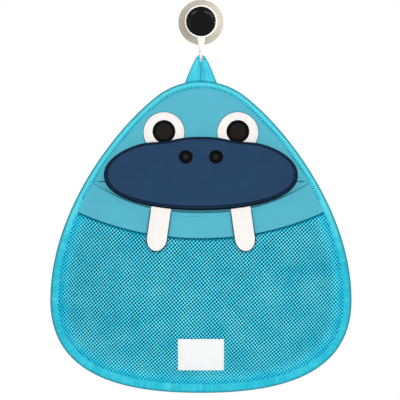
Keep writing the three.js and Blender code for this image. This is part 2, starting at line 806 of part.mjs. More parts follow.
for (const [hand, side] of [["left", -1], ["right", 1]]) {
  const eye = piece(`eye_white_${hand}`, roundPatch(EYE_RADIUS, EYE_THICKNESS, EYE_THICKNESS), "white");
  eye.position.set((side * EYE_SPACING) / 2, bagTop - EYE_DROP, eyeBack);
  const pupil = piece(`pupil_${hand}`, roundPatch(PUPIL_RADIUS, PUPIL_RISE * 0.6, PUPIL_RISE), "black");
  pupil.position.set((side * EYE_SPACING) / 2, bagTop - EYE_DROP + PUPIL_LIFT, pupilBack);
  organizer.add(eye, pupil);

  const disc = roundPatch(NOSTRIL_RADIUS, NOSTRIL_THICKNESS, NOSTRIL_THICKNESS);
  const nostril = piece(`nostril_${hand}`, disc, "black");
  nostril.position.set((side * NOSTRIL_SPACING) / 2, -NOSTRIL_DROP, snoutStand + padFront + GAP);
  snout.add(nostril);

  const tuskHinge = new THREE.Group();
  tuskHinge.position.set((side * TUSK_SPACING) / 2, hang.height, hang.depth);
  tuskHinge.rotation.x = -hang.tuskLean;
  const strip = piece(`tusk_${hand}`, tusk(), "white");
  strip.rotation.z = side * radians(TUSK_SPLAY);
  tuskHinge.add(strip);
  organizer.add(tuskHinge);
}

export default organizer;
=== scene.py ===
"""Looks of the bath toy organizer: a walrus-head bag of foam-backed fabric and net on a suction cup hook.

Shapes are worked out in millimetres as on the sewing table (right, up, out from the wall), and stand_up()
puts them into the frame's metres. Most sizes repeat those of the part; soft forms that the part leaves out
have their own.
"""

import json
import math

import bmesh
import bpy
import numpy as np
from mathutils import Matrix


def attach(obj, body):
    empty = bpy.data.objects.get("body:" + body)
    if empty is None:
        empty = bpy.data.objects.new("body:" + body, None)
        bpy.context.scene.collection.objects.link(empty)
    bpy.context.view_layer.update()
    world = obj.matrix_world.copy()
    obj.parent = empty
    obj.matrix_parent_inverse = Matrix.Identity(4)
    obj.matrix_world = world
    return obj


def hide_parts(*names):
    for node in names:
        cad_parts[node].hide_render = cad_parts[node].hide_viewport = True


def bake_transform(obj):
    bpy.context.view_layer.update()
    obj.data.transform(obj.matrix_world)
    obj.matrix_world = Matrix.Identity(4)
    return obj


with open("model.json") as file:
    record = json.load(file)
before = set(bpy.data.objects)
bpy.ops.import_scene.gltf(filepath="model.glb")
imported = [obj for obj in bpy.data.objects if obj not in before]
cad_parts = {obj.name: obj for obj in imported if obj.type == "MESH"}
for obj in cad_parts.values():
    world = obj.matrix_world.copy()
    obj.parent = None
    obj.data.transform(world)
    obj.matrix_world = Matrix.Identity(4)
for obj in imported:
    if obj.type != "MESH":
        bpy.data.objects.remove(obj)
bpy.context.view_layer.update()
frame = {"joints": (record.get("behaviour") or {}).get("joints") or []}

rng = np.random.default_rng(7)
hinge = {j["name"]: np.array(j["pos_m"]) for j in frame["joints"]}

# Suction cup, hook and cap
CUP_RADIUS = 30
CUP_LIP = 1.2
CUP_HEIGHT = 8
SHOULDER_RADIUS = 11
STEM_RADIUS = 6.5
STEM_END = 14
DISH_RADIUS = 21.5
DISH_RIM = 1.8
DISH_BACK = 8.3
DISH_FLOOR = 10.8
DISH_FRONT = 13.5
CAP_BACK = 11.1
CAP_EDGE = 13.1
CAP_TOP = 15.9
CAP_BEVEL = 1.2
ARM_WIDTH = 10
ARM_THICKNESS = 3.2
ARM_DEPTH = 10.9
BAR_RADIUS = 2
BAR_SPAN = 16
BAR_UP = -50.5
BAR_DEPTH = 18.9
TROUGH_FLAT = 3
TIP_HEIGHT = 10
GAP = 0.3
CUP_ROUND = 0.5
STEM_ROUND = 0.6
CAP_ROUND = 0.7
DISH_ROUND = 0.75

# Hanging loop
LOOP_WIDTH = 44.6
STRAP = 1.6
STRAP_GATHER = 4.2
STRAP_SPREAD = 1
STRAP_BUNCH = 6.4
STRAP_POWER = 0.55
SEAM_DEPTH = 2.2
PLEAT = 0.75
RIPPLE = 0.35
LOOP_SWELL = 2.6
LOOP_VALLEY = (1.2, 3.2)

# Bag outline
BAG_TOP = -78.4
BAG_BOTTOM = -492.4
HALF_WIDTH = 200
CROWN_RADIUS = 95
CROWN_ANGLE = 37
FLANK_HANDLE = 66
SIDE_HANDLE = 120
WIDEST_UP = -369.4
CORNER_RISE = 13
BASE_HANDLE = 84

# Layers, out from the wall
BINDING_BACK = 1.7
BACK_PANEL = (3.0, 5.0)
FRONT_LAYER = (5.3, 7.3)
BINDING_FRONT = 8.6
BAG_MIDDLE = 5.15
PANEL_INSET = 2.3
FLAT_INSET = 12.5
FOAM_PUFF = 0.5
FOAM_HELD = 9
FOAM_RUN = 7
FOAM_DRAW = 0.16
DRAW_RUN = 5

# Binding: its width over the crown, on the flanks and round the base; pairs of heights are where it changes
TAPE = 1.0
TAPE_WIDTH = (9.6, 10.8, 12.2)
TAPE_FLANK = (-225, -295)
TAPE_BASE = (-410, -470)
# Heights over which the binding's painted highlight fades down the flanks
TAPE_PAINTED_LIGHT = (-220, -330)
TAPE_NIP = 0.35
TAPE_FOLD = 3.4
TAPE_SWELL = 0.85
TAPE_PRESS = 0.7
TAPE_DIP = 0.45
TAPE_LIP = 0.25
TAPE_HOLLOW = 2.1

# Mouth, band and belly
HEM_UP = -211.4
MOUTH_LOW = -253.1
MOUTH_DEPTH = 42.4
MOUTH_HALF = 149
SMILE_POWER = 2.3
BAND_LOW = -285.8
BAND_ARC = 405
MOUTH_BULGE = 18
BELLY = 40
BELLY_RUN = 120
BELLY_DROP = 110

# Net: holes across and down, the lattice, its yarn, and the painted light and shade of a knot, a waist, an
# underside and a side
HOLE_WIDE = 4.78
HOLE_TALL = 5.08
NET_TURN = -4.5
NET_MIDDLE = -385
NET_STEPS = 78
NET_STRAY = 0.11
NET_TUCK = 4.2
NET_INSET = 7.2
NET_SLACK = 0.6
NET_BUNCH = 0.75
BUNCH_INSET = 13
BUNCH_RUN = 9
YARN_WIDTH = 1.75
YARN_THICK = 1.9
KNOT_SHARE = 1.12
WAIST_SHARE = 0.84
WAIST_LIFT = 0.85
YARN_PAINTED_SHADES = (1.1, 0.72, 0.3, 0.06)

# Label
LABEL_WIDTH = 60
LABEL_HEIGHT = 42.4
LABEL_RISE = 31.5
LABEL_LOW = BAG_BOTTOM + LABEL_RISE
LABEL_THICK = 0.8
LABEL_STITCH = 2.2

# Face
PATCH = 1.0
PATCH_SWELL = 1.15
PATCH_ROW = 0.75
EYE_X = 49
EYE_UP = -146.9
EYE_RADIUS = 27.1
EYE_STITCH = 2.4
PUPIL_RADIUS = 15.1
PUPIL_RAISE = 1.4
PUPIL_STITCH = 2.6
PUPIL_SWELL = 1.35
PUPIL_SATIN = (10.3, 11.9)
SNOUT_WIDTH = 256.4
SNOUT_UPPER = 50.4
SNOUT_LOWER = 48.4
SNOUT_POWER = 2.15
BROW_DIP = 3.6
BROW_X = 48
BROW_SPREAD = 22
SNOUT_STAND = 2.8
SNOUT_LEAN = 9.8
SNOUT_SEWN = 1.1
SNOUT_ENDS = 6.5
SNOUT_WAVE = 0.5
BACKING = 1.5
BACKING_RIM = 1.8
PAD_BACK = 1.8
PAD_EDGE = 2.0
PAD_FACE = 2.9
PAD_CROWN = 0.5
STITCH_INSET = 2.5
NOSTRIL_RADIUS = 9.2
NOSTRIL_X = 19.9
NOSTRIL_DROP = 28.2
NOSTRIL_STITCH = 2.2
NOSTRIL_SATIN = (1.0, 5.0)
TUSK_WIDTH = 26.5
TUSK_LENGTH = 56.3
TUSK_TAB = 8
TUSK_POINT = 1.3
TUSK_SPLAY = 7.5
TUSK_LEAN = 11.878
TUSK_THICK = 1.8
TUSK_CURL = 1.6
TUSK_CUP = 0.5

# Sewing
STITCH = 2.5
STITCH_PITCH = 3.4
STITCH_SLANT = 6
THREAD = 0.5
TICK_PITCH = 3.8
TICK_INSET = 2.2
TICK_SLANT = 62
CROWN_LOW = -236
HEM_ROUND = 2.4
HEM_FALL = 1.7
HEM_STITCH = 4.5
MOUTH_STITCH = 5.0
BAND_STITCH = 2.4
GROOVE_WIDTH = 1.0
CLOSE_STITCH = 3.5
ROW_END = 12


# Arrays

def lerp(a, b, t):
    """From a to b by a share t."""
    return a + (b - a) * t


def smooth(t):
    """Rises from 0 to 1 with level ends."""
    t = np.clip(t, 0, 1)
    return t * t * (3 - 2 * t)


def falling(up, span):
    """Rises from 0 to 1 as a height falls from the first of a pair to the second."""
    high, low = span
    return smooth((high - up) / (high - low))


def hump(distance, width):
    """A bell curve, 1 in the middle."""
    return np.exp(-((distance / width) ** 2))


def unit(v):
    """The same directions with a length of one."""
    return v / np.maximum(np.linalg.norm(v, axis=-1, keepdims=True), 1e-12)


def points_of(x, up, out):
    """Arrays of coordinates, spread to one shape, as points."""
    return np.stack(np.broadcast_arrays(x, up, out), -1).astype(float)


def facing(line, up, out):
    """One outward direction for all points of a line."""
    return points_of(np.zeros(len(line)), up, out)


def turned(points, about, degrees):
    """Points turned about the table's x axis (out turns towards up) or its out axis (x turns towards up)."""
    c, s = math.cos(math.radians(degrees)), math.sin(math.radians(degrees))
    x, up, out = np.moveaxis(points, -1, 0)
    if about == "x":
        return np.stack([x, up * c + out * s, out * c - up * s], -1)
    return np.stack([x * c - up * s, x * s + up * c, out], -1)


def stand_up(points):
    """Table millimetres (right, up, out) to metres in the frame (X right, Y into the wall, Z up)."""
    x, up, out = np.moveaxis(np.asarray(points, float), -1, 0)
    return np.stack([x, -out, up], -1) * 0.001


def lay_down(place):
    """A point of the frame in table millimetres."""
    return np.array([place[0], place[2], -place[1]]) * 1000


def grid_quads(number):
    """The quads between neighbouring corner numbers of a grid."""
    return np.stack([number[:-1, :-1], number[1:, :-1], number[1:, 1:], number[:-1, 1:]], -1).reshape(-1, 4)


# Pieces

# Points nearer than this are one, and shorter edges than this are dropped, in metres
WELD = 2e-6
SLIVER = 1e-7


def make_piece(name, points, quads, finish, cloth=None, marks=None, crease=50):
    """A mesh of table points and quads. cloth is each point's place on the flat cloth in millimetres, and
    marks are named numbers of the points. Doubled points are welded, so that seams and poles close."""
    mesh = bpy.data.meshes.new(name)
    quads = np.asarray(quads)
    mesh.from_pydata(stand_up(np.reshape(points, (-1, 3))), [], quads.tolist())
    if cloth is not None:
        corners = np.reshape(cloth, (-1, 2))[quads.ravel()]
        mesh.uv_layers.new(name="cloth").uv.foreach_set("vector", corners.astype(np.float32).ravel())
    for mark, values in (marks or {}).items():
        layer = mesh.attributes.new(mark, "FLOAT", "POINT")
        layer.data.foreach_set("value", np.ravel(values).astype(np.float32))
    work = bmesh.new()
    work.from_mesh(mesh)
    bmesh.ops.remove_doubles(work, verts=work.verts, dist=WELD)
    bmesh.ops.dissolve_degenerate(work, edges=work.edges, dist=SLIVER)
    bmesh.ops.recalc_face_normals(work, faces=work.faces)
    work.to_mesh(mesh)
    work.free()
    mesh.shade_smooth()
    mesh.set_sharp_from_angle(angle=math.radians(crease))
    mesh.materials.append(finish)
    piece = bpy.data.objects.new(name, mesh)
    bpy.context.scene.collection.objects.link(piece)
    return piece


def ring_piece(name, rings, finish, cloth=None, **more):
    """A skin through rings of points, whose first and last rings have shrunk to a point or a line."""
    rings = np.asarray(rings)
    number = np.arange(rings.shape[0] * rings.shape[1]).reshape(rings.shape[:2])
    cloth = rings[..., :2] if cloth is None else cloth
    return make_piece(name, rings, grid_quads(number), finish, cloth, **more)


def slab_piece(name, front, back, finish, cloth, roll=0.4, deep=None):
    """A closed sheet between two grids: the front, the back, and a rim that bulges out by roll, half round.
    deep marks the front's points."""
    rows, columns = front.shape[:2]
    count = rows * columns
    number = np.arange(count).reshape(rows, columns)

    def border(n, step):
        """A grid's corner numbers round its edge, or a step inside it."""
        return np.concatenate([n[step, :-1], n[:-1, -1 - step], n[-1 - step, :0:-1], n[:0:-1, step]])

    rim, inner = border(number, 0), border(number, 1)
    f, b = front.reshape(-1, 3), back.reshape(-1, 3)
    share = np.array([0.12, 0.3, 0.5, 0.7, 0.88])[:, None, None]
    edge = lerp(f[rim], b[rim], share) + unit(f[rim] - f[inner]) * roll * np.sin(np.pi * share)
    rim_number = 2 * count + np.arange(edge.shape[0] * edge.shape[1]).reshape(edge.shape[:2])
    around = np.concatenate([rim[None], rim_number, count + rim[None]])
    around = np.concatenate([around, around[:, :1]], 1)
    quads = np.concatenate([grid_quads(number), grid_quads(count + number), grid_quads(around)])
    flat = np.reshape(cloth, (-1, 2))
    flat = np.concatenate([flat, flat, np.tile(flat[rim], (len(edge), 1))])
    marks = None if deep is None else {"deep": np.concatenate([np.ravel(deep), np.zeros(len(flat) - count)])}
    return make_piece(name, np.concatenate([f, b, edge.reshape(-1, 3)]), quads, finish, flat, marks)


def lathe(profile, steps=128):
    """Rings of a profile of (radius, out) turned round the hook's axis."""
    turn = np.linspace(0, 2 * np.pi, steps + 1)
    radius, out = np.array(profile, float).T
    return points_of(radius[:, None] * np.cos(turn), radius[:, None] * np.sin(turn), out[:, None])


def rounded_profile(corners, radius, steps=5):
    """A profile whose inner corners are replaced by short curves that start a radius before them."""
    corners = np.array(corners, float)
    before = corners[1:-1] + unit(corners[:-2] - corners[1:-1]) * radius
    after = corners[1:-1] + unit(corners[2:] - corners[1:-1]) * radius
    t = np.linspace(0, 1, steps)[None, :, None]
    curve = (1 - t) ** 2 * before[:, None] + 2 * t * (1 - t) * corners[1:-1][:, None] + t * t * after[:, None]
    return np.concatenate([corners[:1], curve.reshape(-1, 2), corners[-1:]])


def stitch_rows(name, lines, finish, length=STITCH, pitch=STITCH_PITCH, thread=THREAD, slant=STITCH_SLANT):
    """Threads along lines of (points, outward directions): at each even step a capsule that lies on the
    cloth, thick in the middle and pulled in at both ends, turned from the line by a slant in degrees."""
    along = np.array([-0.5, -0.45, -0.25, 0.25, 0.45, 0.5])
    thick = np.array([0, 0.6, 1, 1, 0.6, 0])
    sink = np.array([-0.7, -0.35, 0.1, 0.1, -0.35, -0.7])
    turn = np.linspace(0, 2 * np.pi, 7)
    shape = points_of(
        along[:, None] * length,
        thick[:, None] * thread / 2 * np.cos(turn),
        thick[:, None] * thread / 2 * np.sin(turn) + sink[:, None] * thread / 2,
    ).reshape(-1, 3)
    made, cloth = [], []
    for line, outward in lines:
        run = np.concatenate([[0], np.cumsum(np.linalg.norm(np.diff(line, axis=0), axis=1))])
        count = max(2, int(round(run[-1] / pitch)))
        at = (np.arange(count) + 0.5) * run[-1] / count
        place, ahead, behind, out = (
            np.stack([np.interp(a, run, axis) for axis in values.T], -1)
            for a, values in ((at, line), (at + 0.6, line), (at - 0.6, line), (at, outward))
        )
        out = unit(out)
        forward = unit(ahead - behind)
        side = unit(np.cross(out, forward))
        forward = unit(forward * math.cos(math.radians(slant)) + side * math.sin(math.radians(slant)))
        side = unit(np.cross(out, forward))
        axes = np.stack([forward, side, out], 1)
        made.append(place[:, None] + np.einsum("va,nac->nvc", shape, axes))
        cloth.append(np.broadcast_to(shape[None, :, :2], (count, len(shape), 2)))
    points = np.concatenate(made)
    number = np.arange(points.shape[0] * points.shape[1]).reshape(-1, len(along), len(turn))
    quads = np.stack([number[:, :-1, :-1], number[:, 1:, :-1], number[:, 1:, 1:], number[:, :-1, 1:]], -1)
    return make_piece(name, points, quads.reshape(-1, 4), finish, np.concatenate(cloth))


def belong(pieces, body, node=None):
    """Pieces that ride on a body and, where a node is named, stand in for it."""
    for piece in pieces:
        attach(piece, body)
        if node:
            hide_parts(node)


# Bag outline

def bezier(a, b, c, d, count):
    """Cubic curve from a to d with handles b and c."""
    t = np.linspace(0, 1, count)[:, None]
    a, b, c, d = (np.array(p, float) for p in (a, b, c, d))
    return (1 - t) ** 3 * a + 3 * (1 - t) ** 2 * t * b + 3 * (1 - t) * t * t * c + t ** 3 * d


def bag_outline(count):
    """An arc over the crown, one curve down the flank and one round the base, mirrored to the left and
    spaced evenly, clockwise from the crown: points, inward directions and lengths from the crown."""
    turn = math.radians(CROWN_ANGLE)
    angle = np.linspace(0, turn, 80)
    crown = np.stack([CROWN_RADIUS * np.sin(angle), BAG_TOP - CROWN_RADIUS * (1 - np.cos(angle))], -1)
    start = crown[-1]
    handle = start + FLANK_HANDLE * np.array([math.cos(turn), -math.sin(turn)])
    widest = (HALF_WIDTH, WIDEST_UP)
    flank = bezier(start, handle, (HALF_WIDTH, WIDEST_UP + SIDE_HANDLE), widest, 300)
    corner = (HALF_WIDTH, BAG_BOTTOM + CORNER_RISE)
    base = bezier(widest, corner, (BASE_HANDLE, BAG_BOTTOM), (0, BAG_BOTTOM), 300)
    right = np.concatenate([crown, flank[1:], base[1:]])
    loop = np.concatenate([right, right[-2::-1] * [-1, 1]])
    run = np.concatenate([[0], np.cumsum(np.linalg.norm(np.diff(loop, axis=0), axis=1))])
    at = np.linspace(0, run[-1], count + 1)
    even = np.stack([np.interp(at, run, axis) for axis in loop.T], -1)
    ahead = np.roll(even[:-1], -1, 0) - np.roll(even[:-1], 1, 0)
    inward = unit(np.stack([ahead[:, 1], -ahead[:, 0]], -1))
    return even, np.concatenate([inward, inward[:1]]), at


EDGE, EDGE_IN, EDGE_RUN = bag_outline(1800)


def half_width(up, inset):
    """Half the bag's width at a height, inside the outline drawn in by inset."""
    right = (EDGE + inset * EDGE_IN)[: len(EDGE) // 2 + 1]
    return np.interp(up, right[::-1, 1], np.maximum(right[::-1, 0], 0))


def edge_inset(x, up):
    """How far points lie inside the outline (negative outside), and where along it."""
    flat = np.stack(np.broadcast_arrays(x, up), -1).reshape(-1, 2).astype(float)
    edge, inward, run = EDGE[:-1:2], EDGE_IN[:-1:2], EDGE_RUN[:-1:2]
    inset, along = np.empty(len(flat)), np.empty(len(flat))
    for part in np.array_split(np.arange(len(flat)), 1 + len(flat) // 4000):
        square = (flat[part, :1] - edge[:, 0]) ** 2 + (flat[part, 1:] - edge[:, 1]) ** 2
        near = square.argmin(1)
        side = ((flat[part] - edge[near]) * inward[near]).sum(1)
        inset[part] = np.sqrt(square.min(1)) * np.sign(side)
        along[part] = run[near]
    shape = np.broadcast(x, up).shape
    return inset.reshape(shape), along.reshape(shape)


# Mouth and belly

def mouth_edge(x):
    """The band's upper edge, a smile."""
    return MOUTH_LOW + MOUTH_DEPTH * (np.abs(x) / MOUTH_HALF) ** SMILE_POWER


def band_edge(x):
    """The band's lower edge, a plain arc."""
    return BAND_LOW + BAND_ARC - np.sqrt(BAND_ARC ** 2 - x ** 2)


BELLY_STEP = 2.0
BELLY_X = np.arange(-210, 211, BELLY_STEP)
BELLY_UP = np.arange(-504, -188, BELLY_STEP)


def belly_table(spread=9.0):
    """How far the pocket stands out, on a table of places: a quarter sine from its seam inwards, from the
    mouth's bulge to the belly's, then softened by a bell curve so that no ridge shows between two seams."""
    x, up = np.meshgrid(BELLY_X, BELLY_UP)
    inward = edge_inset(x, up)[0] - FLAT_INSET
    across = np.sin(np.pi / 2 * np.clip(inward / BELLY_RUN, -1, 1))
    rise = across * lerp(MOUTH_BULGE, BELLY, smooth((mouth_edge(x) - up) / BELLY_DROP))

    def blur(count):
        """For each place in a row, how much of every other place it takes."""
        step = np.arange(count) * BELLY_STEP
        bell = hump(step[:, None] - step, spread * math.sqrt(2))
        return bell / bell.sum(1, keepdims=True)

    return blur(rise.shape[0]) @ rise @ blur(rise.shape[1]).T


BELLY_TABLE = belly_table()


def rise_at(x, up):
    """The table read between its places, and nothing where it falls below."""
    j = np.clip((np.asarray(x, float) - BELLY_X[0]) / BELLY_STEP, 0, len(BELLY_X) - 1.001)
    i = np.clip((np.asarray(up, float) - BELLY_UP[0]) / BELLY_STEP, 0, len(BELLY_UP) - 1.001)
    j0, i0 = j.astype(int), i.astype(int)
    low = lerp(BELLY_TABLE[i0, j0], BELLY_TABLE[i0, j0 + 1], j - j0)
    high = lerp(BELLY_TABLE[i0 + 1, j0], BELLY_TABLE[i0 + 1, j0 + 1], j - j0)
    return np.maximum(lerp(low, high, i - i0), 0)


def belly_normal(x, up):
    """Outward direction of the pocket's front, from its slopes."""
    step = 1.5
    slope_x = (rise_at(x + step, up) - rise_at(x - step, up)) / (2 * step)
    slope_up = (rise_at(x, up + step) - rise_at(x, up - step)) / (2 * step)
    return unit(points_of(-slope_x, -slope_up, 1.0))


def face_front(x, up):
    """Front of the face panel: foam that swells from the binding inwards, drawn in at each stitch."""
    inset, along = edge_inset(x, up)
    free = np.maximum(inset - FOAM_HELD, 0)
    draw = FOAM_DRAW * np.cos(np.pi * along / STITCH_PITCH) * np.exp(-free / DRAW_RUN)
    return FRONT_LAYER[1] + FOAM_PUFF * (1 - np.exp(-free / FOAM_RUN)) + draw * (free > 0)


# Materials

def colour(code):
    """An sRGB hex value as linear red, green, blue and alpha."""
    s = np.array([int(code[i:i + 2], 16) for i in (1, 3, 5)]) / 255
    return (*np.where(s <= 0.04045, s / 12.92, ((s + 0.055) / 1.055) ** 2.4), 1.0)


def fill(tree, node, inputs):
    """A node's inputs, by socket name or number: values are set, nodes and sockets are joined."""
    for name, value in inputs.items():
        if isinstance(value, bpy.types.Node):
            value = value.outputs[0]
        if isinstance(value, bpy.types.NodeSocket):
            tree.links.new(value, node.inputs[name])
        else:
            node.inputs[name].default_value = value


def add(tree, kind, inputs=None, **settings):
    """One node with its settings and its inputs."""
    node = tree.nodes.new("ShaderNode" + kind)
    for name, value in settings.items():
        setattr(node, name, value)
    fill(tree, node, inputs or {})
    return node


def new_finish(name):
    """An empty material: its tree and its shader, joined to the output."""
    finish = bpy.data.materials.new(name)
    finish.use_nodes = True
    tree = finish.node_tree
    tree.nodes.clear()
    shader = add(tree, "BsdfPrincipled")
    add(tree, "OutputMaterial", {"Surface": shader})
    return finish, tree, shader


def shaded(tree, light, dark, share, height, relief):
    """A colour between two shades by a share, and a bump of a relief in millimetres by a height."""
    mix = add(tree, "Mix", {0: share, 6: colour(dark), 7: colour(light)}, data_type="RGBA")
    bump = add(tree, "Bump", {"Height": height, "Strength": 1.0, "Distance": relief * 0.001})
    return mix.outputs[2], bump


def deepened(tree, shade, deep):
    """A colour that gives way to a deeper shade where the piece is marked deep."""
    mark = add(tree, "Attribute", attribute_name="deep")
    mix = add(tree, "Mix", {0: mark.outputs["Fac"], 6: shade, 7: colour(deep)}, data_type="RGBA")
    return mix.outputs[2]


def knit_finish(name, light, dark, deep, sheen, gloss=0.15, wale=1.5, relief=0.10):
    """Weft knit laminated on foam: columns of small slanted loops, matt, with a bloom of fibre ends where it
    has a sheen. Where a piece is marked deep, the knit turns to a deeper shade, which is painted shade:
    inside the pocket and round the rim of the snout's pad. The real wales are about 0.7 mm apart; they are
    drawn at
    1.5 mm so that they show."""
    finish, tree, shader = new_finish(name)
    cloth = add(tree, "UVMap", uv_map="cloth")
    axes = add(tree, "SeparateXYZ", {0: cloth})
    fold = add(tree, "Math", {0: axes.outputs[0], 1: wale / 2}, operation="PINGPONG")
    slant = add(tree, "Math", {0: fold, 1: 1.2, 2: axes.outputs[1]}, operation="MULTIPLY_ADD")
    turns = add(tree, "Math", {0: slant, 1: 2 * math.pi / (wale * 0.8)}, operation="MULTIPLY")
    loops = add(tree, "Math", {0: turns}, operation="SINE")
    column = add(tree, "Math", {0: fold, 1: 2 / wale}, operation="MULTIPLY")
    height = add(tree, "Math", {0: loops, 1: 0.35, 2: column}, operation="MULTIPLY_ADD")
    fibre = add(tree, "TexNoise", {"Vector": cloth, "Scale": 1 / 0.9, "Detail": 3, "Roughness": 0.7})
    patch = add(tree, "TexNoise", {"Vector": cloth, "Scale": 1 / 26, "Detail": 2})
    mottle = add(tree, "Math", {0: patch, 1: 0.45}, operation="MULTIPLY")
    grain = add(tree, "Math", {0: fibre, 1: 0.5, 2: mottle}, operation="MULTIPLY_ADD")
    share = add(tree, "Math", {0: height, 1: 0.16, 2: grain}, operation="MULTIPLY_ADD", use_clamp=True)
    hairy = add(tree, "Math", {0: fibre, 1: 0.6, 2: height}, operation="MULTIPLY_ADD")
    shade, bump = shaded(tree, light, dark, share, hairy, relief)
    fill(tree, shader, {
        "Base Color": deepened(tree, shade, deep), "Normal": bump,
        "Roughness": add(tree, "MapRange", {0: fibre, 3: 0.78, 4: 0.96}), "Specular IOR Level": gloss,
        "Sheen Weight": sheen, "Sheen Roughness": 0.5, "Sheen Tint": colour(light)})
    return finish


def tape_finish(name, pale, light, dark, edge, rib=1.9, gather=0.4):
    """Woven polyester tape: ribs across its length, gathers where it was eased round an edge, and a slight
    silk sheen. A positive painted shading mark turns it to its pale shade, a painted highlight, and a
    negative one to its edge shade, painted shade where the tape turns under. The real ribs are about 0.9 mm
    apart;
    they are drawn wider so that they show."""
    finish, tree, shader = new_finish(name)
    cloth = add(tree, "UVMap", uv_map="cloth")
    painted_shading = add(tree, "Attribute", attribute_name="painted_shading")
    axes = add(tree, "SeparateXYZ", {0: cloth})
    turns = add(tree, "Math", {0: axes.outputs[0], 1: 2 * math.pi / rib}, operation="MULTIPLY")
    ribs = add(tree, "Math", {0: turns}, operation="SINE")
    fibre = add(tree, "TexNoise", {"Vector": cloth, "Scale": 1 / 1.1, "Detail": 3, "Roughness": 0.65})
    patch = add(tree, "TexNoise", {"Vector": cloth, "Scale": 1 / 17, "Detail": 2})
    eased = add(tree, "Mapping", {"Vector": cloth, "Scale": (1.0, 0.12, 1.0), "Rotation": (0, 0, 0.25)})
    gathers = add(tree, "TexNoise", {"Vector": eased, "Scale": 1 / 4.5, "Detail": 1, "Roughness": 0.4})
    weave = add(tree, "Math", {0: fibre, 1: 0.45, 2: ribs}, operation="MULTIPLY_ADD")
    height = add(tree, "Math", {0: gathers, 1: 6 * gather, 2: weave}, operation="MULTIPLY_ADD")
    grain = add(tree, "Math", {0: patch, 1: 0.5, 2: 0.43 - gather / 2}, operation="MULTIPLY_ADD")
    folds = add(tree, "Math", {0: gathers, 1: gather, 2: grain}, operation="MULTIPLY_ADD")
    folds_and_painted_shading = add(tree, "Math", {0: painted_shading.outputs["Fac"], 1: 0.5, 2: folds}, operation="MULTIPLY_ADD")
    share = add(tree, "Math", {0: ribs, 1: 0.1, 2: folds_and_painted_shading}, operation="MULTIPLY_ADD", use_clamp=True)
    ramp = add(tree, "ValToRGB", {"Fac": share})
    ramp.color_ramp.elements[0].color = colour(edge)
    ramp.color_ramp.elements[1].color = colour(pale)
    ramp.color_ramp.elements.new(0.3).color = colour(dark)
    ramp.color_ramp.elements.new(0.75).color = colour(light)
    fill(tree, shader, {
        "Base Color": ramp,
        "Normal": add(tree, "Bump", {"Height": height, "Strength": 1.0, "Distance": 0.0003}),
        "Roughness": add(tree, "MapRange", {0: fibre, 3: 0.55, 4: 0.75}), "Specular IOR Level": 0.2,
        "Sheen Weight": 0.15, "Sheen Tint": colour(light)})
    return finish


def yarn_finish(name, painted_crest, strand, side, deep):
    """Knitted polyester yarn, mottled by its filaments, with painted light and shade: a painted highlight on
    the knots' crowns, painted shade down the strands' sides, and a deeper painted shadow under the band's
    edge and near the binding. The real filaments are far finer; they are drawn at 0.35 mm so that they show."""
    finish, tree, shader = new_finish(name)
    cloth = add(tree, "UVMap", uv_map="cloth")
    crown = add(tree, "Attribute", attribute_name="crown")
    filament = add(tree, "TexNoise", {"Vector": cloth, "Scale": 1 / 0.35, "Detail": 2, "Roughness": 0.6})
    patch = add(tree, "TexNoise", {"Vector": cloth, "Scale": 1 / 34, "Detail": 2})
    worn = add(tree, "Math", {0: filament, 1: 0.35, 2: -0.35}, operation="MULTIPLY_ADD")
    uneven = add(tree, "Math", {0: patch, 1: 0.5, 2: worn}, operation="MULTIPLY_ADD")
    share = add(tree, "Math", {0: crown.outputs["Fac"], 1: uneven}, operation="ADD", use_clamp=True)
    ramp = add(tree, "ValToRGB", {"Fac": share})
    ramp.color_ramp.elements[0].color = colour(side)
    ramp.color_ramp.elements[1].color = colour(painted_crest)
    ramp.color_ramp.elements.new(0.6).color = colour(strand)
    painted_shadow_share = add(tree, "Math", {0: crown.outputs["Fac"], 1: -1.0}, operation="MULTIPLY", use_clamp=True)
    both = add(tree, "Mix", {0: painted_shadow_share, 6: ramp, 7: colour(deep)}, data_type="RGBA")
    fill(tree, shader, {
        "Base Color": both.outputs[2],
        "Normal": add(tree, "Bump", {"Height": filament, "Strength": 1.0, "Distance": 0.00008}),
        "Roughness": add(tree, "MapRange", {0: filament, 3: 0.45, 4: 0.7}), "Specular IOR Level": 0.03})
    return finish


def felt_finish(name, light, dark, deep=None, fibre=0.8, relief=0.08, gloss=0.05):
    """Pressed felt: short fibres that lie mostly one way over soft tufts, fully matt. The real fibres are
    far finer; they are drawn at 0.8 mm so that they show. Where a patch is marked deep, close satin stitches
    cover it in a darker shade."""
    finish, tree, shader = new_finish(name)
    cloth = add(tree, "UVMap", uv_map="cloth")
    laid = add(tree, "Mapping", {"Vector": cloth, "Scale": (1.0, 0.35, 1.0), "Rotation": (0, 0, 0.6)})
    strands = add(tree, "TexNoise", {"Vector": laid, "Scale": 1 / fibre, "Detail": 4, "Roughness": 0.7})
    tufts = add(tree, "TexNoise", {"Vector": cloth, "Scale": 1 / (4 * fibre), "Detail": 3})
    height = add(tree, "Math", {0: tufts, 1: 0.8, 2: strands}, operation="MULTIPLY_ADD")
    share = add(tree, "MapRange", {0: height, 1: 0.6, 2: 1.2, 3: 0.0, 4: 1.0})
    shade, bump = shaded(tree, light, dark, share, height, relief)
    fill(tree, shader, {
        "Base Color": deepened(tree, shade, deep or dark), "Normal": bump,
        "Roughness": add(tree, "MapRange", {0: strands, 3: 0.82, 4: 0.98}), "Specular IOR Level": gloss})
    return finish


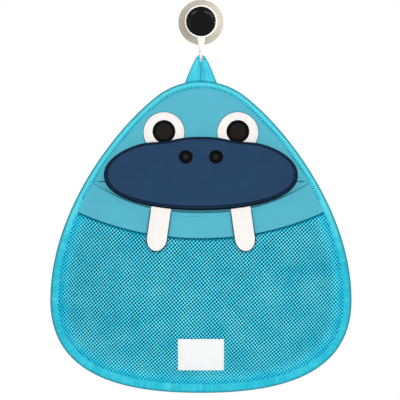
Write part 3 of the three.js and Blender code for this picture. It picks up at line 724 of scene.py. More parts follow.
def thread_finish(name, light, dark, gloss=0.3, twist=0.8):
    """Spun polyester sewing thread: slanting plies, light on their backs and dark between them."""
    finish, tree, shader = new_finish(name)
    cloth = add(tree, "UVMap", uv_map="cloth")
    axes = add(tree, "SeparateXYZ", {0: cloth})
    slant = add(tree, "Math", {0: axes.outputs[1], 1: 1.5, 2: axes.outputs[0]}, operation="MULTIPLY_ADD")
    turns = add(tree, "Math", {0: slant, 1: 2 * math.pi / twist}, operation="MULTIPLY")
    plies = add(tree, "Math", {0: turns}, operation="SINE")
    share = add(tree, "MapRange", {0: plies, 1: -1.0, 2: 1.0, 3: 0.2, 4: 1.0})
    shade, bump = shaded(tree, light, dark, share, plies, 0.06)
    fill(tree, shader, {"Base Color": shade, "Normal": bump, "Roughness": 0.6, "Specular IOR Level": gloss})
    return finish


def satin_label_finish(name, light, dark):
    """Satin-woven label: long floats one way, so a close fine grid with a faint gloss along the floats."""
    finish, tree, shader = new_finish(name)
    cloth = add(tree, "UVMap", uv_map="cloth")
    floats = add(tree, "TexBrick", {
        "Vector": cloth, "Scale": 1 / 1.6, "Mortar Size": 0.05, "Mortar Smooth": 1.0,
        "Color1": (1, 1, 1, 1), "Color2": (0.75, 0.75, 0.75, 1), "Mortar": (0.2, 0.2, 0.2, 1)})
    weave = floats.outputs["Color"]
    grain = add(tree, "TexNoise", {"Vector": cloth, "Scale": 1 / 5, "Detail": 3})
    share = add(tree, "Math", {0: weave, 1: 0.4, 2: grain}, operation="MULTIPLY_ADD", use_clamp=True)
    shade, bump = shaded(tree, light, dark, share, weave, 0.05)
    fill(tree, shader, {
        "Base Color": shade, "Normal": bump, "Roughness": add(tree, "MapRange", {0: grain, 3: 0.42, 4: 0.6})})
    return finish


def moulded_finish(name, light, dark, rough, relief, grit, more=None):
    """Injection moulding: almost even colour, a fine mould texture and faint handling marks in the gloss.
    more holds other inputs of the shader."""
    finish, tree, shader = new_finish(name)
    place = add(tree, "TexCoord").outputs["Object"]
    haze = add(tree, "TexNoise", {"Vector": place, "Scale": 1000 / 14, "Detail": 3})
    mould = add(tree, "TexNoise", {"Vector": place, "Scale": 1000 / grit, "Detail": 2})
    shade, bump = shaded(tree, light, dark, haze, mould, relief)
    spread = add(tree, "MapRange", {0: haze, 1: 0.3, 2: 0.7, 3: rough[0], 4: rough[1]})
    fill(tree, shader, {"Base Color": shade, "Normal": bump, "Roughness": spread, "IOR": 1.53})
    fill(tree, shader, more or {})
    return finish


teal_knit = knit_finish("foam_backed_knit_teal", "#62c3d8", "#50aec3", "#006480", sheen=0.15)
# The lining's deep shade is painted shade on the cloth inside the pocket, seen through the net.
lining_knit = knit_finish(
    "foam_backed_knit_teal_inner", "#66c5da", "#55b0c5", "#006480", sheen=0.0, gloss=0.02)
# The navy's deep shade is painted shade on the snout pad's rim.
navy_knit = knit_finish("foam_backed_knit_navy", "#2d4b6b", "#243d5a", "#1f334d", sheen=0.0, gloss=0.05)
# The binding's pale shade is a painted highlight, and its edge shade is painted shade where the tape turns
# under.
cyan_tape = tape_finish("woven_binding_tape_cyan", "#64ebfb", "#2fd0ea", "#1cb4d3", "#3d9fb0")
loop_tape = tape_finish(
    "woven_strap_tape_cyan", "#62efff", "#57e5fa", "#3ed2f0", "#22a4c4", rib=2.3, gather=1.5)
# The yarn's four shades are painted light and shade, from a painted highlight to a painted shadow.
net_yarn = yarn_finish("knitted_mesh_yarn_cyan", "#8cf9ff", "#1ccef0", "#0092b4", deep="#005a74")
backing_felt = felt_finish("needled_felt_backing_black", "#0e1520", "#090d15")
black_felt = felt_finish("needled_felt_black", "#272624", "#1c1b1a", deep="#0a0a0a")
nostril_felt = felt_finish("needled_felt_jet_black", "#332f2e", "#272423", deep="#0d0e10")
white_felt = felt_finish("pressed_felt_white", "#fcf9f7", "#f6f2ee", relief=0.05, gloss=0.2)
label_satin = satin_label_finish("satin_woven_label_white", "#ffffff", "#f5f7f8")
cyan_thread = thread_finish("spun_thread_cyan", "#84e9f8", "#4cc4dc")
# Dark thread for the strap's seam: real stitches, partly painted shade.
seam_shade_thread = thread_finish("spun_thread_deep_cyan_painted_shade", "#12809b", "#0a5e76")
tick_thread = thread_finish("spun_thread_mid_cyan", "#2ab2d0", "#1e9cba", gloss=0.1)
pale_thread = thread_finish("spun_thread_pale_teal", "#8bdcea", "#56b4c8")
teal_thread = thread_finish("spun_thread_teal", "#58b6ca", "#3f94a8")
# Dark teal thread that stands in for shade: painted shade lines at the mouth and painted shadow rings round
# the eyes.
painted_shade_thread = thread_finish("spun_thread_dark_teal_painted_shade", "#2d8094", "#1d6374", gloss=0.1)
# Slate thread that stands in for the shadow round the tusks.
painted_shadow_thread = thread_finish("spun_thread_slate_teal_painted_shadow", "#1f5966", "#133f4a", gloss=0.05)
navy_thread = thread_finish("spun_thread_navy", "#0b1420", "#060a11", gloss=0.03)
black_thread = thread_finish("spun_thread_black", "#141414", "#080808", gloss=0.05)
white_thread = thread_finish("spun_thread_white", "#f2efeb", "#d5d1cb")
white_abs = moulded_finish("moulded_abs_white", "#faf8f2", "#f3f0e8", (0.22, 0.34), 0.015, 0.9)
black_abs = moulded_finish(
    "moulded_abs_black_gloss", "#080808", "#050505", (0.07, 0.14), 0.004, 1.4, {"Specular IOR Level": 0.1})
# Soft PVC lets a little light in, which blurs the shade inside its rim.
soft_pvc = moulded_finish("moulded_soft_pvc_cloudy", "#bbb4a7", "#aba496", (0.3, 0.45), 0.006, 1.2, {
    "Transmission Weight": 0.08, "Subsurface Weight": 0.2, "Subsurface Radius": (1.0, 0.9, 0.75),
    "Subsurface Scale": 0.004})


# Suction cup, hook and cap

def cup_rings():
    """Profile: a flat foot, a rounded lip, a bell that rises in one curve to the shoulder, and the stem."""
    t = np.linspace(0, 1, 24)[:, None]
    lip = np.array((CUP_RADIUS, CUP_LIP))
    bend = np.array((lerp(SHOULDER_RADIUS, CUP_RADIUS, 0.3), lerp(CUP_LIP, CUP_HEIGHT, 0.25)))
    top = np.array((SHOULDER_RADIUS, CUP_HEIGHT))
    bell = (1 - t) ** 2 * lip + 2 * t * (1 - t) * bend + t * t * top
    foot = rounded_profile([(0, 0), (CUP_RADIUS, 0), lip], CUP_ROUND)
    stem_corners = [top, (STEM_RADIUS, CUP_HEIGHT), (STEM_RADIUS, STEM_END), (0, STEM_END)]
    stem = rounded_profile(stem_corners, STEM_ROUND)
    return lathe(np.concatenate([foot[:-1], bell, stem[1:]]))


def cap_rings():
    """Profile: a flat back, a rounded edge and a low dome, flat in the middle."""
    radius = DISH_RADIUS - DISH_RIM - GAP
    r = np.linspace(radius - CAP_BEVEL, 0, 40)
    dome = lerp(CAP_EDGE + 0.5, CAP_TOP, 1 - (r / radius) ** 4)
    corners = [(0, CAP_BACK), (radius, CAP_BACK), (radius, CAP_EDGE), (r[0], dome[0])]
    edge = rounded_profile(corners, CAP_ROUND)
    return lathe(np.concatenate([edge[:-1], np.stack([r, dome], -1)]))


def dish_rings():
    """Profile: a round tray with a rolled rim and a bore for the stem, closed on itself."""
    bore, inner = STEM_RADIUS + GAP, DISH_RADIUS - DISH_RIM
    corners = [
        (bore, DISH_FLOOR), (bore, DISH_BACK), (DISH_RADIUS, DISH_BACK), (DISH_RADIUS, DISH_FRONT),
        (inner, DISH_FRONT), (inner, DISH_FLOOR), (bore, DISH_FLOOR),
    ]
    return lathe(rounded_profile(corners, DISH_ROUND))


def arm_rings():
    """An oval carried down the arm, round the trough and up the tip: wide and flat at the dish, round at the
    trough. The path is a straight, a quarter circle, a short flat, a quarter circle and a straight."""
    bend = (BAR_SPAN - TROUGH_FLAT) / 2
    start, bend_top = -(DISH_RADIUS - DISH_RIM / 2), BAR_UP + bend
    share = np.linspace(0, 1, 14)
    quarter = np.linspace(0, np.pi / 2, 14)
    far = ARM_DEPTH + BAR_SPAN
    tip = np.linspace(bend_top, BAR_UP + TIP_HEIGHT - BAR_RADIUS, 5)
    round_end = np.linspace(0, np.pi / 2, 8)[1:]
    up = np.concatenate([
        lerp(start, bend_top, share), bend_top - bend * np.sin(quarter[1:]),
        bend_top - bend * np.cos(quarter), tip[1:], tip[-1] + BAR_RADIUS * np.sin(round_end)])
    out = np.concatenate([
        np.full(14, ARM_DEPTH), ARM_DEPTH + bend * (1 - np.cos(quarter[1:])),
        far - bend + bend * np.sin(quarter), np.full(4, far), np.full(7, far)])
    turn = np.concatenate([np.zeros(14), quarter[1:], np.pi / 2 + quarter, np.full(11, np.pi)])
    narrow = np.concatenate([share, np.ones(len(up) - 14)])
    shrink = np.concatenate([np.ones(len(up) - 7), np.cos(round_end)])
    wide = lerp(ARM_WIDTH / 2, BAR_RADIUS, smooth(narrow)) * shrink
    thick = lerp(ARM_THICKNESS / 2, BAR_RADIUS, narrow) * shrink
    around = np.linspace(0, 2 * np.pi, 33)
    off = thick[:, None] * np.sin(around)
    rings = points_of(
        wide[:, None] * np.cos(around),
        up[:, None] + off * np.sin(turn)[:, None],
        out[:, None] + off * np.cos(turn)[:, None])
    return np.concatenate([rings[:1] * [0, 1, 0] + [0, 0, ARM_DEPTH], rings])


suction_cup = ring_piece("cup_bell", cup_rings(), soft_pvc)
belong([suction_cup], "cup", "suction_cup")
cap = ring_piece("cap_dome", cap_rings(), black_abs)
belong([cap], "cup", "hook_cap")
dish = ring_piece("hook_dish", dish_rings(), white_abs)
arm = ring_piece("hook_arm", arm_rings(), white_abs)
belong([dish, arm], "hook", "hook")


# Hanging loop

def crown_drop(x):
    """How far the crown has dropped at x."""
    return CROWN_RADIUS - np.sqrt(CROWN_RADIUS ** 2 - x ** 2)


def loop_rings():
    """Rings along the strap, from its left end in the binding, over the hook's trough, to its right end. A
    ring is a flattened round: u runs from the inner to the outer edge, v from back to front. The strap is
    thin and curved at the seam, and gathers into pleats towards the trough."""
    around = np.linspace(0, 2 * np.pi, 65)
    u = np.sign(np.cos(around)) * np.abs(np.cos(around)) ** STRAP_POWER
    v = np.sign(np.sin(around)) * np.abs(np.sin(around)) ** STRAP_POWER
    eye, closing = BAR_RADIUS + GAP, 1.6 * BAR_RADIUS
    drop = BAR_UP - BAG_TOP
    share = np.concatenate([np.linspace(0, 0.25, 12), np.linspace(0.25, 1, 26)[1:]])[:, None]
    inner = lerp(eye, -0.25, np.minimum(1, share * drop / closing) ** 2)
    outer = lerp(eye + STRAP_GATHER + STRAP_SPREAD, LOOP_WIDTH / 2, share ** 0.92)
    x = lerp(inner, outer, (u + 1) / 2)
    foot = BAG_TOP - crown_drop(x) - SEAM_DEPTH
    middle = lerp(BAR_DEPTH, BAG_MIDDLE, smooth(share * 0.5 + 0.5 * share ** 2) * 0.4 + 0.6 * share)
    deep = lerp(STRAP_BUNCH, STRAP, share ** 0.45)
    pleats = PLEAT * np.cos(3 * np.pi * u + 0.6)
    ripple = RIPPLE * np.sin(np.pi * share) * np.cos(2.2 * np.pi * u)
    swell = LOOP_SWELL * np.sin(np.pi * np.minimum(1, 0.12 + 0.88 * share)) * (1 - u ** 2)
    parted = smooth(share * drop / closing) * (1 - smooth(share * 8 - 7))
    valley = lerp(*LOOP_VALLEY, share) * parted * ((1 - u) / 2) ** 4
    out = middle + deep / 2 * v + (1 - share) ** 1.3 * pleats + ripple + swell - valley
    leg = points_of(x, lerp(BAR_UP, foot, share), out)
    turn = np.linspace(0, np.pi, 25)[1:-1][:, None]
    r = eye + (STRAP_GATHER + STRAP_SPREAD * np.abs(np.cos(turn))) * (u + 1) / 2
    peak = 2 / lerp(2.0, 1.35, (u + 1) / 2)
    arch_x = -r * np.sign(np.cos(turn)) * np.abs(np.cos(turn)) ** peak
    arch = points_of(arch_x, BAR_UP + r * np.sin(turn) ** peak, BAR_DEPTH + STRAP_BUNCH / 2 * v + pleats)
    rings = np.concatenate([leg[::-1] * [-1, 1, 1], arch, leg])
    ends = [ring * [1, 1, 0] + [0, 0, BAG_MIDDLE] for ring in (rings[0], rings[-1])]
    return np.concatenate([ends[:1], rings, ends[1:]])


def loop_cloth(rings):
    """Cloth places: the way across the strap, and the length along it, so that its ribs run lengthwise."""
    middle = rings.mean(1)
    run = np.concatenate([[0], np.cumsum(np.linalg.norm(np.diff(middle, axis=0), axis=1))])
    across = np.linspace(0, LOOP_WIDTH, rings.shape[1])
    return np.stack(np.broadcast_arrays(across[None], run[:, None]), -1)


strap_rings = loop_rings()
strap = ring_piece("strap_loop", strap_rings, loop_tape, loop_cloth(strap_rings))
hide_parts("hang_loop")

# The seam runs along the front of the fourth ring from each end.
front_half = slice(6, 27)
seam_line = np.concatenate([strap_rings[4][front_half], strap_rings[-5][front_half][::-1]])
# The seam's real stitches are drawn in a dark thread that is also painted shade along the strap's foot.
seam_stitches = stitch_rows(
    "strap_stitches", [(seam_line, facing(seam_line, 0.3, 1.0))], seam_shade_thread, length=3.4, thread=0.75)
for piece in (strap, seam_stitches):
    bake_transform(piece)


# Panels

def across_rows(up, inset, columns):
    """Grid of places on rows at the given heights, each from the left edge to the right one."""
    x = half_width(up, inset)[:, None] * np.linspace(-1, 1, columns)
    return x, np.broadcast_to(up[:, None], x.shape)


def back_panel():
    """The whole outline, flat, its foam a little swollen towards the wall, with painted shade on its front
    inside the pocket, below the mouth.
    """
    middle, half = (BAG_TOP + BAG_BOTTOM) / 2, (BAG_TOP - BAG_BOTTOM) / 2 - PANEL_INSET
    up = middle + half * np.sin(np.pi / 2 * np.linspace(-1, 1, 110))
    x, up = across_rows(up, PANEL_INSET, 120)
    puff = face_front(x, up) - FRONT_LAYER[1]
    front = points_of(x, up, BACK_PANEL[1])
    back = points_of(x, up, BACK_PANEL[0] - 0.8 * puff)
    # Painted shade: the cloth seen through the net turns deep teal from below the mouth downwards.
    inside = smooth((mouth_edge(x) - up - 8) / 30)
    return slab_piece("back_cloth", front, back, lining_knit, front[..., :2], deep=inside)


def round_off(from_edge):
    """How far a folded edge falls back towards its rim: a quarter round."""
    return HEM_FALL * (1 - np.sqrt(1 - np.clip(1 - from_edge / HEM_ROUND, 0, 1) ** 2))


def face_panel():
    """The outline above the mouth's straight hem, which is folded round, with a stitched groove along it.
    Rows lie close together at the hem."""
    near = np.array([0, 0.1, 0.3, 0.65, 1.1, 1.7, 2.4, 3.2, 3.9, 4.5, 5.1, 5.8, 7.0])
    rest = lerp(HEM_UP + 9, BAG_TOP - PANEL_INSET, np.sin(np.pi / 2 * np.linspace(0, 1, 100)))
    x, up = across_rows(np.concatenate([HEM_UP + near, rest]), PANEL_INSET, 130)
    groove = 0.45 * hump(up - HEM_UP - HEM_STITCH, GROOVE_WIDTH)
    front = points_of(x, up, face_front(x, up) - groove - round_off(up - HEM_UP))
    back = points_of(x, up, FRONT_LAYER[0])
    return slab_piece("face_cloth", front, back, teal_knit, front[..., :2], roll=0.15)


def reach_of(share, inset):
    """The x at which the curve at a share of the way up the band meets the outline drawn in by inset."""
    low, high = np.zeros_like(share), np.full_like(share, HALF_WIDTH)
    for _ in range(40):
        x = (low + high) / 2
        within = x < half_width(lerp(band_edge(x), mouth_edge(x), share), inset)
        low, high = np.where(within, x, low), np.where(within, high, x)
    return low


def pocket_band():
    """Between the two mouth curves, out on the belly, with a rolled hem above and a stitched groove near
    both long edges. Rows lie close together at both."""
    share = np.concatenate([
        [0, 0.012, 0.03], np.linspace(0.06, 0.92, 26), [0.94, 0.955, 0.968, 0.979, 0.988, 0.995, 1]])
    x = reach_of(share, PANEL_INSET)[:, None] * np.linspace(-1, 1, 150)
    share = share[:, None]
    up = lerp(band_edge(x), mouth_edge(x), share)
    wide = mouth_edge(x) - band_edge(x)
    from_top, from_low = (1 - share) * wide, share * wide
    upper_groove = 0.5 * hump(from_top - MOUTH_STITCH, GROOVE_WIDTH)
    lower_groove = 0.4 * hump(from_low - BAND_STITCH, GROOVE_WIDTH)
    waves = 0.25 * np.sin(x / 13 + 0.6) * hump(from_top - 2, 7)
    hem = 0.5 * hump(from_top, 3.2) + waves - round_off(from_top)
    rise = rise_at(x, up)
    front = points_of(x, up, FRONT_LAYER[1] + rise + hem - upper_groove - lower_groove)
    back = points_of(x, up, FRONT_LAYER[0] + rise)
    steps = (np.diff(values, axis=1, prepend=values[:, :1]) for values in (x, rise))
    run = np.cumsum(np.hypot(*steps), 1)
    middle = run.shape[1] // 2
    cloth = np.stack([run - run[:, middle:middle + 1], from_low], -1)
    return slab_piece("mouth_band", front, back, teal_knit, cloth, roll=0.8)


def net_slack(x, up):
    """Low waves of the slack net."""
    return NET_SLACK * np.sin(x / 21 + 1.1) * np.sin(up / 27 + 0.4) * smooth(rise_at(x, up) / 12)


def label_seat(x, up):
    """The crowns of the net, on which the label lies."""
    return FRONT_LAYER[0] + YARN_THICK + 0.1 + rise_at(x, up) + net_slack(x, up)


def pocket_label():
    """A rectangle on the net, its face drawn in and puckered along the stitching near all four edges."""
    x = np.linspace(-0.5, 0.5, 62) * LABEL_WIDTH
    up = LABEL_LOW + np.linspace(0, 1, 44) * LABEL_HEIGHT
    x, up = np.meshgrid(x, up)
    from_ends = LABEL_WIDTH / 2 - np.abs(x)
    from_edge = np.minimum(from_ends, np.minimum(up - LABEL_LOW, LABEL_LOW + LABEL_HEIGHT - up))
    pucker = 0.12 * np.cos(np.pi * x / STITCH_PITCH) * hump(from_edge, 3.5)
    draw = 0.35 * hump(from_edge - LABEL_STITCH, 0.8) + pucker
    rise = label_seat(x, up)
    front = points_of(x, up, rise + LABEL_THICK - draw + 0.25 * smooth(from_edge / 12))
    back = points_of(x, up, rise)
    return slab_piece("blank_label", front, back, label_satin, front[..., :2], roll=0.25)


back_cloth = back_panel()
face_cloth = face_panel()
band = pocket_band()
label = pocket_label()
for piece, node, slot in (
    (back_cloth, "back_panel", "teal_fabric"),
    (face_cloth, "face_panel", "teal_fabric"),
    (band, "pocket_band", "teal_fabric"),
    (label, "label", "white_label"),
):
    belong([piece], "bag", node)


# Binding

def tape_width(along):
    """The binding is narrow over the crown, wider down the flanks and widest round the base, and nips in at
    each stitch."""
    up = np.interp(along, EDGE_RUN, EDGE[:, 1])
    crown, flank, base = TAPE_WIDTH
    wide = crown + (flank - crown) * falling(up, TAPE_FLANK) + (base - flank) * falling(up, TAPE_BASE)
    return wide + TAPE_NIP * np.cos(2 * np.pi * along / TICK_PITCH)


def edge_binding():
    """A tape folded round the edge, carried along the outline: two crowned faces joined by a round fold, and
    inside it two flat ones. Each face dips along its stitches. Its painted shading is a painted highlight
    over the crown that fades down the flanks and towards the inner edge, and painted shade where it turns
    under at the fold."""
    along = EDGE_RUN[:, None]
    width = tape_width(along)
    deep = (BINDING_FRONT - BINDING_BACK) / 2
    t = np.linspace(0, 1, 11)[None]
    lie = lerp(TAPE_FOLD, width, t)
    pull = 0.7 + 0.3 * np.cos(2 * np.pi * along / TICK_PITCH)
    dip = TAPE_DIP * hump(lie - (width - TICK_INSET), 1.2) * pull
    crowned = TAPE_SWELL * np.sin(np.pi * t ** 0.75) - TAPE_PRESS * t ** 5 - dip
    fold = np.linspace(-np.pi / 2, np.pi / 2, 11)[None, 1:-1]
    fold_inset = np.broadcast_to(TAPE_FOLD * (1 - np.cos(fold)), (len(along), 9))
    fold_out = np.broadcast_to(BAG_MIDDLE + deep * np.sin(fold), (len(along), 9))
    lip = width + TAPE_LIP
    hollow = np.full_like(width, TAPE_HOLLOW)
    back_in, front_in = BINDING_BACK + TAPE, BINDING_FRONT - TAPE
    inner_out = (BINDING_FRONT - 0.85, front_in, front_in, back_in, back_in, BINDING_BACK + 0.6)
    inset = np.concatenate([lie[:, ::-1], fold_inset, lie, lip, width, hollow, hollow, width, lip], 1)
    out = np.concatenate([
        BINDING_BACK - 0.6 * crowned[:, ::-1], fold_out, BINDING_FRONT + crowned,
        np.broadcast_to(inner_out, (len(along), 6))], 1)
    # Painted light: strongest over the crown and fading down the flanks; painted shade at the fold.
    painted_light = lerp(1, 0.1, falling(EDGE[:, 1:], TAPE_PAINTED_LIGHT))
    face_painted_shading = painted_light * lerp(1.0, 0.45, smooth((t - 0.3) / 0.6))
    fold_painted_shading = lerp(-2.0, painted_light, smooth((fold_inset - 0.4) / 3.0))
    painted_shading = np.concatenate([face_painted_shading[:, ::-1], fold_painted_shading, face_painted_shading, np.zeros((len(along), 6))], 1)
    inset, out, painted_shading = (np.concatenate([a, a[:, :1]], 1) for a in (inset, out, painted_shading))
    place = EDGE[:, None] + EDGE_IN[:, None] * inset[..., None]
    points = np.concatenate([place, out[..., None]], -1)
    across = np.concatenate([[0], np.cumsum(np.linalg.norm(np.diff(points[0], axis=0), axis=1))])
    cloth = np.stack(np.broadcast_arrays(along, across[None]), -1)
    return ring_piece("edge_tape", points, cyan_tape, cloth, marks={"painted_shading": painted_shading})


def tape_line(face, above):
    """The stitch line of the binding on its front or its back, over the crown or round the base."""
    inset = (tape_width(EDGE_RUN) - TICK_INSET)[:, None]
    place = (EDGE + EDGE_IN * inset)[:-1]
    if above:
        place = np.roll(place, len(place) // 2, 0)
    place = place[(place[:, 1] > CROWN_LOW) == above]
    out = BINDING_FRONT - 0.1 if face > 0 else BINDING_BACK + 0.1
    return points_of(place[:, 0], place[:, 1], out), facing(place, 0, face)


tape = edge_binding()
belong([tape], "bag", "edge_binding")
tape_stitches = stitch_rows(
    "edge_stitches", [tape_line(1, False), tape_line(-1, False)], cyan_thread, length=2.8, pitch=TICK_PITCH,
    thread=0.55, slant=TICK_SLANT)
crown_stitches = stitch_rows(
    "crown_stitches", [tape_line(1, True), tape_line(-1, True)], tick_thread, length=5.2, pitch=TICK_PITCH,
    thread=1.9, slant=TICK_SLANT)
belong([tape_stitches, crown_stitches], "bag")


# Net

def net_piece():
    """A diagonal lattice of yarn over the belly. Each crossing has a crown, an underside and four corners;
    each strand between two crossings narrows at its middle, where it has a crown, an underside and two sides.
    Crossings and strands share corners, and a crossing with no strand on one side is closed there."""
    turn = math.radians(NET_TURN)
    spin = np.array([[math.cos(turn), -math.sin(turn)], [math.sin(turn), math.cos(turn)]])
    a = spin @ [HOLE_WIDE / 2, HOLE_TALL / 2]
    b = spin @ [HOLE_WIDE / 2, -HOLE_TALL / 2]
    steps = np.arange(-NET_STEPS, NET_STEPS + 1)
    i, j = np.meshgrid(steps, steps, indexing="ij")
    place = np.array([0, NET_MIDDLE]) + i[..., None] * a + j[..., None] * b
    x, up = np.moveaxis(place, -1, 0)
    inset, _ = edge_inset(x, up)
    kept = (inset > NET_INSET) & (up < band_edge(np.clip(x, -HALF_WIDTH, HALF_WIDTH)) + NET_TUCK)
    number = np.full(kept.shape, -1)
    number[kept] = np.arange(kept.sum())
    node = place[kept] + rng.uniform(-NET_STRAY, NET_STRAY, (kept.sum(), 2))
    open_half = math.atan2(HOLE_TALL, HOLE_WIDE)
    over, beside = (KNOT_SHARE * YARN_WIDTH / 2 / part(open_half) for part in (math.cos, math.sin))
    corner = np.array([unit(a - b) * over, -unit(a + b) * beside, unit(b - a) * over, unit(a + b) * beside])
    bunch = 1 + NET_BUNCH * hump(np.maximum(inset[kept] - BUNCH_INSET, 0), BUNCH_RUN)
    flat = [np.concatenate([np.zeros((2, 2)), corner])[None] * bunch[:, None, None] + node[:, None]]
    lift = [np.tile([1.0, -1.0, 0, 0, 0, 0], (len(node), 1))]
    quads = []
    base = 6 * len(node)

    def strand(here, there, ahead, near_left, near_right, far_left, far_right):
        """The strands of one direction; corners are counted round a crossing from its top."""
        nonlocal base
        both = (here >= 0) & (there >= 0)
        p, q = here[both], there[both]
        side = unit(np.array([-ahead[1], ahead[0]])) * YARN_WIDTH * WAIST_SHARE / 2
        middle = (node[p] + node[q]) / 2
        thick = (bunch[p] + bunch[q])[:, None, None] / 2
        flat.append(middle[:, None] + np.stack([side, -side, 0 * side, 0 * side])[None] * thick)
        lift.append(np.tile([0, 0, WAIST_LIFT, -WAIST_LIFT], (len(p), 1)))
        left, right, crown, under = (base + 4 * np.arange(len(p)) + k for k in range(4))
        p, q = 6 * p, 6 * q
        nl, nr, fl, fr = 2 + near_left, 2 + near_right, 2 + far_left, 2 + far_right
        quads.extend(np.stack(corners, -1) for corners in (
            (p, p + nr, right, crown), (p, crown, left, p + nl),
            (crown, right, q + fr, q), (crown, q, q + fl, left),
            (p + 1, under, right, p + nr), (p + 1, p + nl, left, under),
            (under, q + 1, q + fr, right), (under, left, q + fl, q + 1)))
        base += 4 * len(p)

    strand(number[:-1], number[1:], a, 0, 3, 1, 2)
    strand(number[:, :-1], number[:, 1:], b, 3, 2, 0, 1)
    wide = np.pad(number, 1, constant_values=-1)
    for step, left, right in (((1, 0), 0, 3), ((-1, 0), 2, 1), ((0, 1), 3, 2), ((0, -1), 1, 0)):
        beyond = wide[1 + step[0]: wide.shape[0] - 1 + step[0], 1 + step[1]: wide.shape[1] - 1 + step[1]]
        p = 6 * number[(number >= 0) & (beyond < 0)]
        quads.append(np.stack([p + 2 + right, p + 1, p + 2 + left, p], -1))
    flat = np.concatenate([f.reshape(-1, 2) for f in flat])
    lift = np.concatenate([f.ravel() for f in lift])
    x, up = flat.T
    rise = rise_at(x, up)
    from_band = up - band_edge(x)
    tuck = 3.2 * smooth((from_band + 3.5) / 4) * smooth(rise / 6)
    out = FRONT_LAYER[0] + YARN_THICK / 2 + rise + net_slack(x, up) - tuck
    points = points_of(x, up, out) + belly_normal(x, up) * lift[:, None] * YARN_THICK / 2
    # Painted light and shade: pale crowns, darker undersides and sides, a painted shadow under the band's
    # lower edge and painted shade near the binding.
    knot, waist, under, side = YARN_PAINTED_SHADES
    crown = np.select([lift > 0.95, lift > 0.5, lift < -0.5], [knot, waist, under], side)
    crown = crown - 1.2 * hump(from_band + 1.0, 2.2) - 0.25 * hump(rise, 3.5)
    return make_piece("mesh_net", points, np.concatenate(quads), net_yarn, flat, {"crown": crown}, crease=180)


net = net_piece()
belong([net], "bag", "pocket_net")


# Face patches

def disc_rings(radius, sewn, swell, steps=112):
    """A round patch about its own middle: flat back, rounded edge, a groove where it is sewn and a middle
    that swells."""
    rim = radius - np.array([0.5, 0.12, 0, 0.12, 0.45])
    r = np.concatenate([
        [0], rim, np.linspace(radius - 0.9, radius - 2 * sewn, 16), np.linspace(radius - 2.4 * sewn, 0, 12)])
    inward = radius - r[6:]
    middle = (swell - PATCH) * smooth((inward - sewn) / (2 * sewn))
    top = PATCH - 0.4 * PATCH * hump(inward - sewn, 0.75) + middle
    turn = np.linspace(0, 2 * np.pi, steps + 1)
    out = np.concatenate([np.array([0, 0, 0.15, 0.5, 0.85, 1.0]) * PATCH, top])
    return points_of(r[:, None] * np.cos(turn), r[:, None] * np.sin(turn), out[:, None])


def sewn_rim(rings, start, end):
    """Where close stitches cover a patch about its own middle: from a radius at which they begin to one at
    which they are full."""
    return smooth((np.hypot(rings[..., 0], rings[..., 1]) - start) / (end - start))


def circle_line(radius, out, steps=120):
    """A stitch line round a patch's own middle."""
    turn = np.linspace(0, 2 * np.pi, steps + 1)
    line = points_of(radius * np.cos(turn), radius * np.sin(turn), out)
    return line, facing(line, 0, 1.0)


eye_parts = {}
for hand, side in (("left", -1), ("right", 1)):
    seat = float(face_front(np.array([side * EYE_X]), np.array([EYE_UP]))[0])
    middle = np.array([side * EYE_X, EYE_UP, seat + 0.05])
    own = disc_rings(EYE_RADIUS, EYE_STITCH, PATCH_SWELL)
    white = ring_piece(f"eye_disc_{hand}", own + middle, white_felt)
    dark_middle = middle + [0, PUPIL_RAISE, PATCH + 0.05]
    own = disc_rings(PUPIL_RADIUS, PUPIL_STITCH, PUPIL_SWELL)
    rim = {"deep": sewn_rim(own, *PUPIL_SATIN)}
    pupil = ring_piece(f"pupil_disc_{hand}", own + dark_middle, black_felt, marks=rim)
    eye_line, eye_out = circle_line(EYE_RADIUS - EYE_STITCH, PATCH_ROW)
    eye_stitches = stitch_rows(
        f"eye_stitches_{hand}", [(eye_line + middle, eye_out)], white_thread, thread=0.45)
    pupil_line, pupil_out = circle_line(PUPIL_RADIUS - PUPIL_STITCH, PATCH_ROW)
    pupil_stitches = stitch_rows(
        f"pupil_stitches_{hand}", [(pupil_line + dark_middle, pupil_out)], black_thread, thread=0.45)
    # Painted shadow: a dark teal ring just outside the eye's white, where it meets the face.
    eye_shadow_line, eye_shadow_out = circle_line(EYE_RADIUS + 0.25, 0.3)
    eye_painted_shadow = stitch_rows(
        f"eye_painted_shadow_{hand}", [(eye_shadow_line + middle, eye_shadow_out)], painted_shade_thread, length=CLOSE_STITCH,
        thread=1.0, slant=0)
    belong([white], "bag", f"eye_white_{hand}")
    belong([pupil], "bag", f"pupil_{hand}")
    belong([eye_painted_shadow], "bag")
    belong([eye_stitches], "bag")
    belong([pupil_stitches], "bag")
    eye_parts[hand] = (white, pupil, [eye_stitches, eye_painted_shadow], pupil_stitches)


# Snout

def snout_outline(inset, steps=288):
    """The snout's outline about the middle of its top, drawn in by inset, less so above: a superellipse,
    taller above than below, whose upper edge dips over the eyes."""
    turn = np.linspace(0, 2 * np.pi, steps + 1) + np.pi / steps
    c, s = np.cos(turn), np.sin(turn)
    power = 2 / SNOUT_POWER
    inset = inset * (1 - 0.25 * smooth(s))
    x = (SNOUT_WIDTH / 2 - inset) * np.sign(c) * np.abs(c) ** power
    tall = np.where(s > 0, SNOUT_UPPER, SNOUT_LOWER) - inset
    dip = np.maximum(0, s) * BROW_DIP * hump(np.abs(x) - BROW_X, BROW_SPREAD)
    return np.stack([x, tall * np.sign(s) * np.abs(s) ** power - dip - SNOUT_UPPER], -1)


def snout_rings(layers, shrink, front):
    """Rings of (inset, height), then the innermost ring drawn in to the middle by shares, at a height."""
    rings = [points_of(*snout_outline(inset).T, height) for inset, height in layers]
    middle = np.array([0, -SNOUT_UPPER, 0])
    last = rings[-1]
    rings += [(last - middle) * [s, s, 1] + middle + [0, 0, front * (1 - s * s)] for s in shrink]
    return np.array(rings)


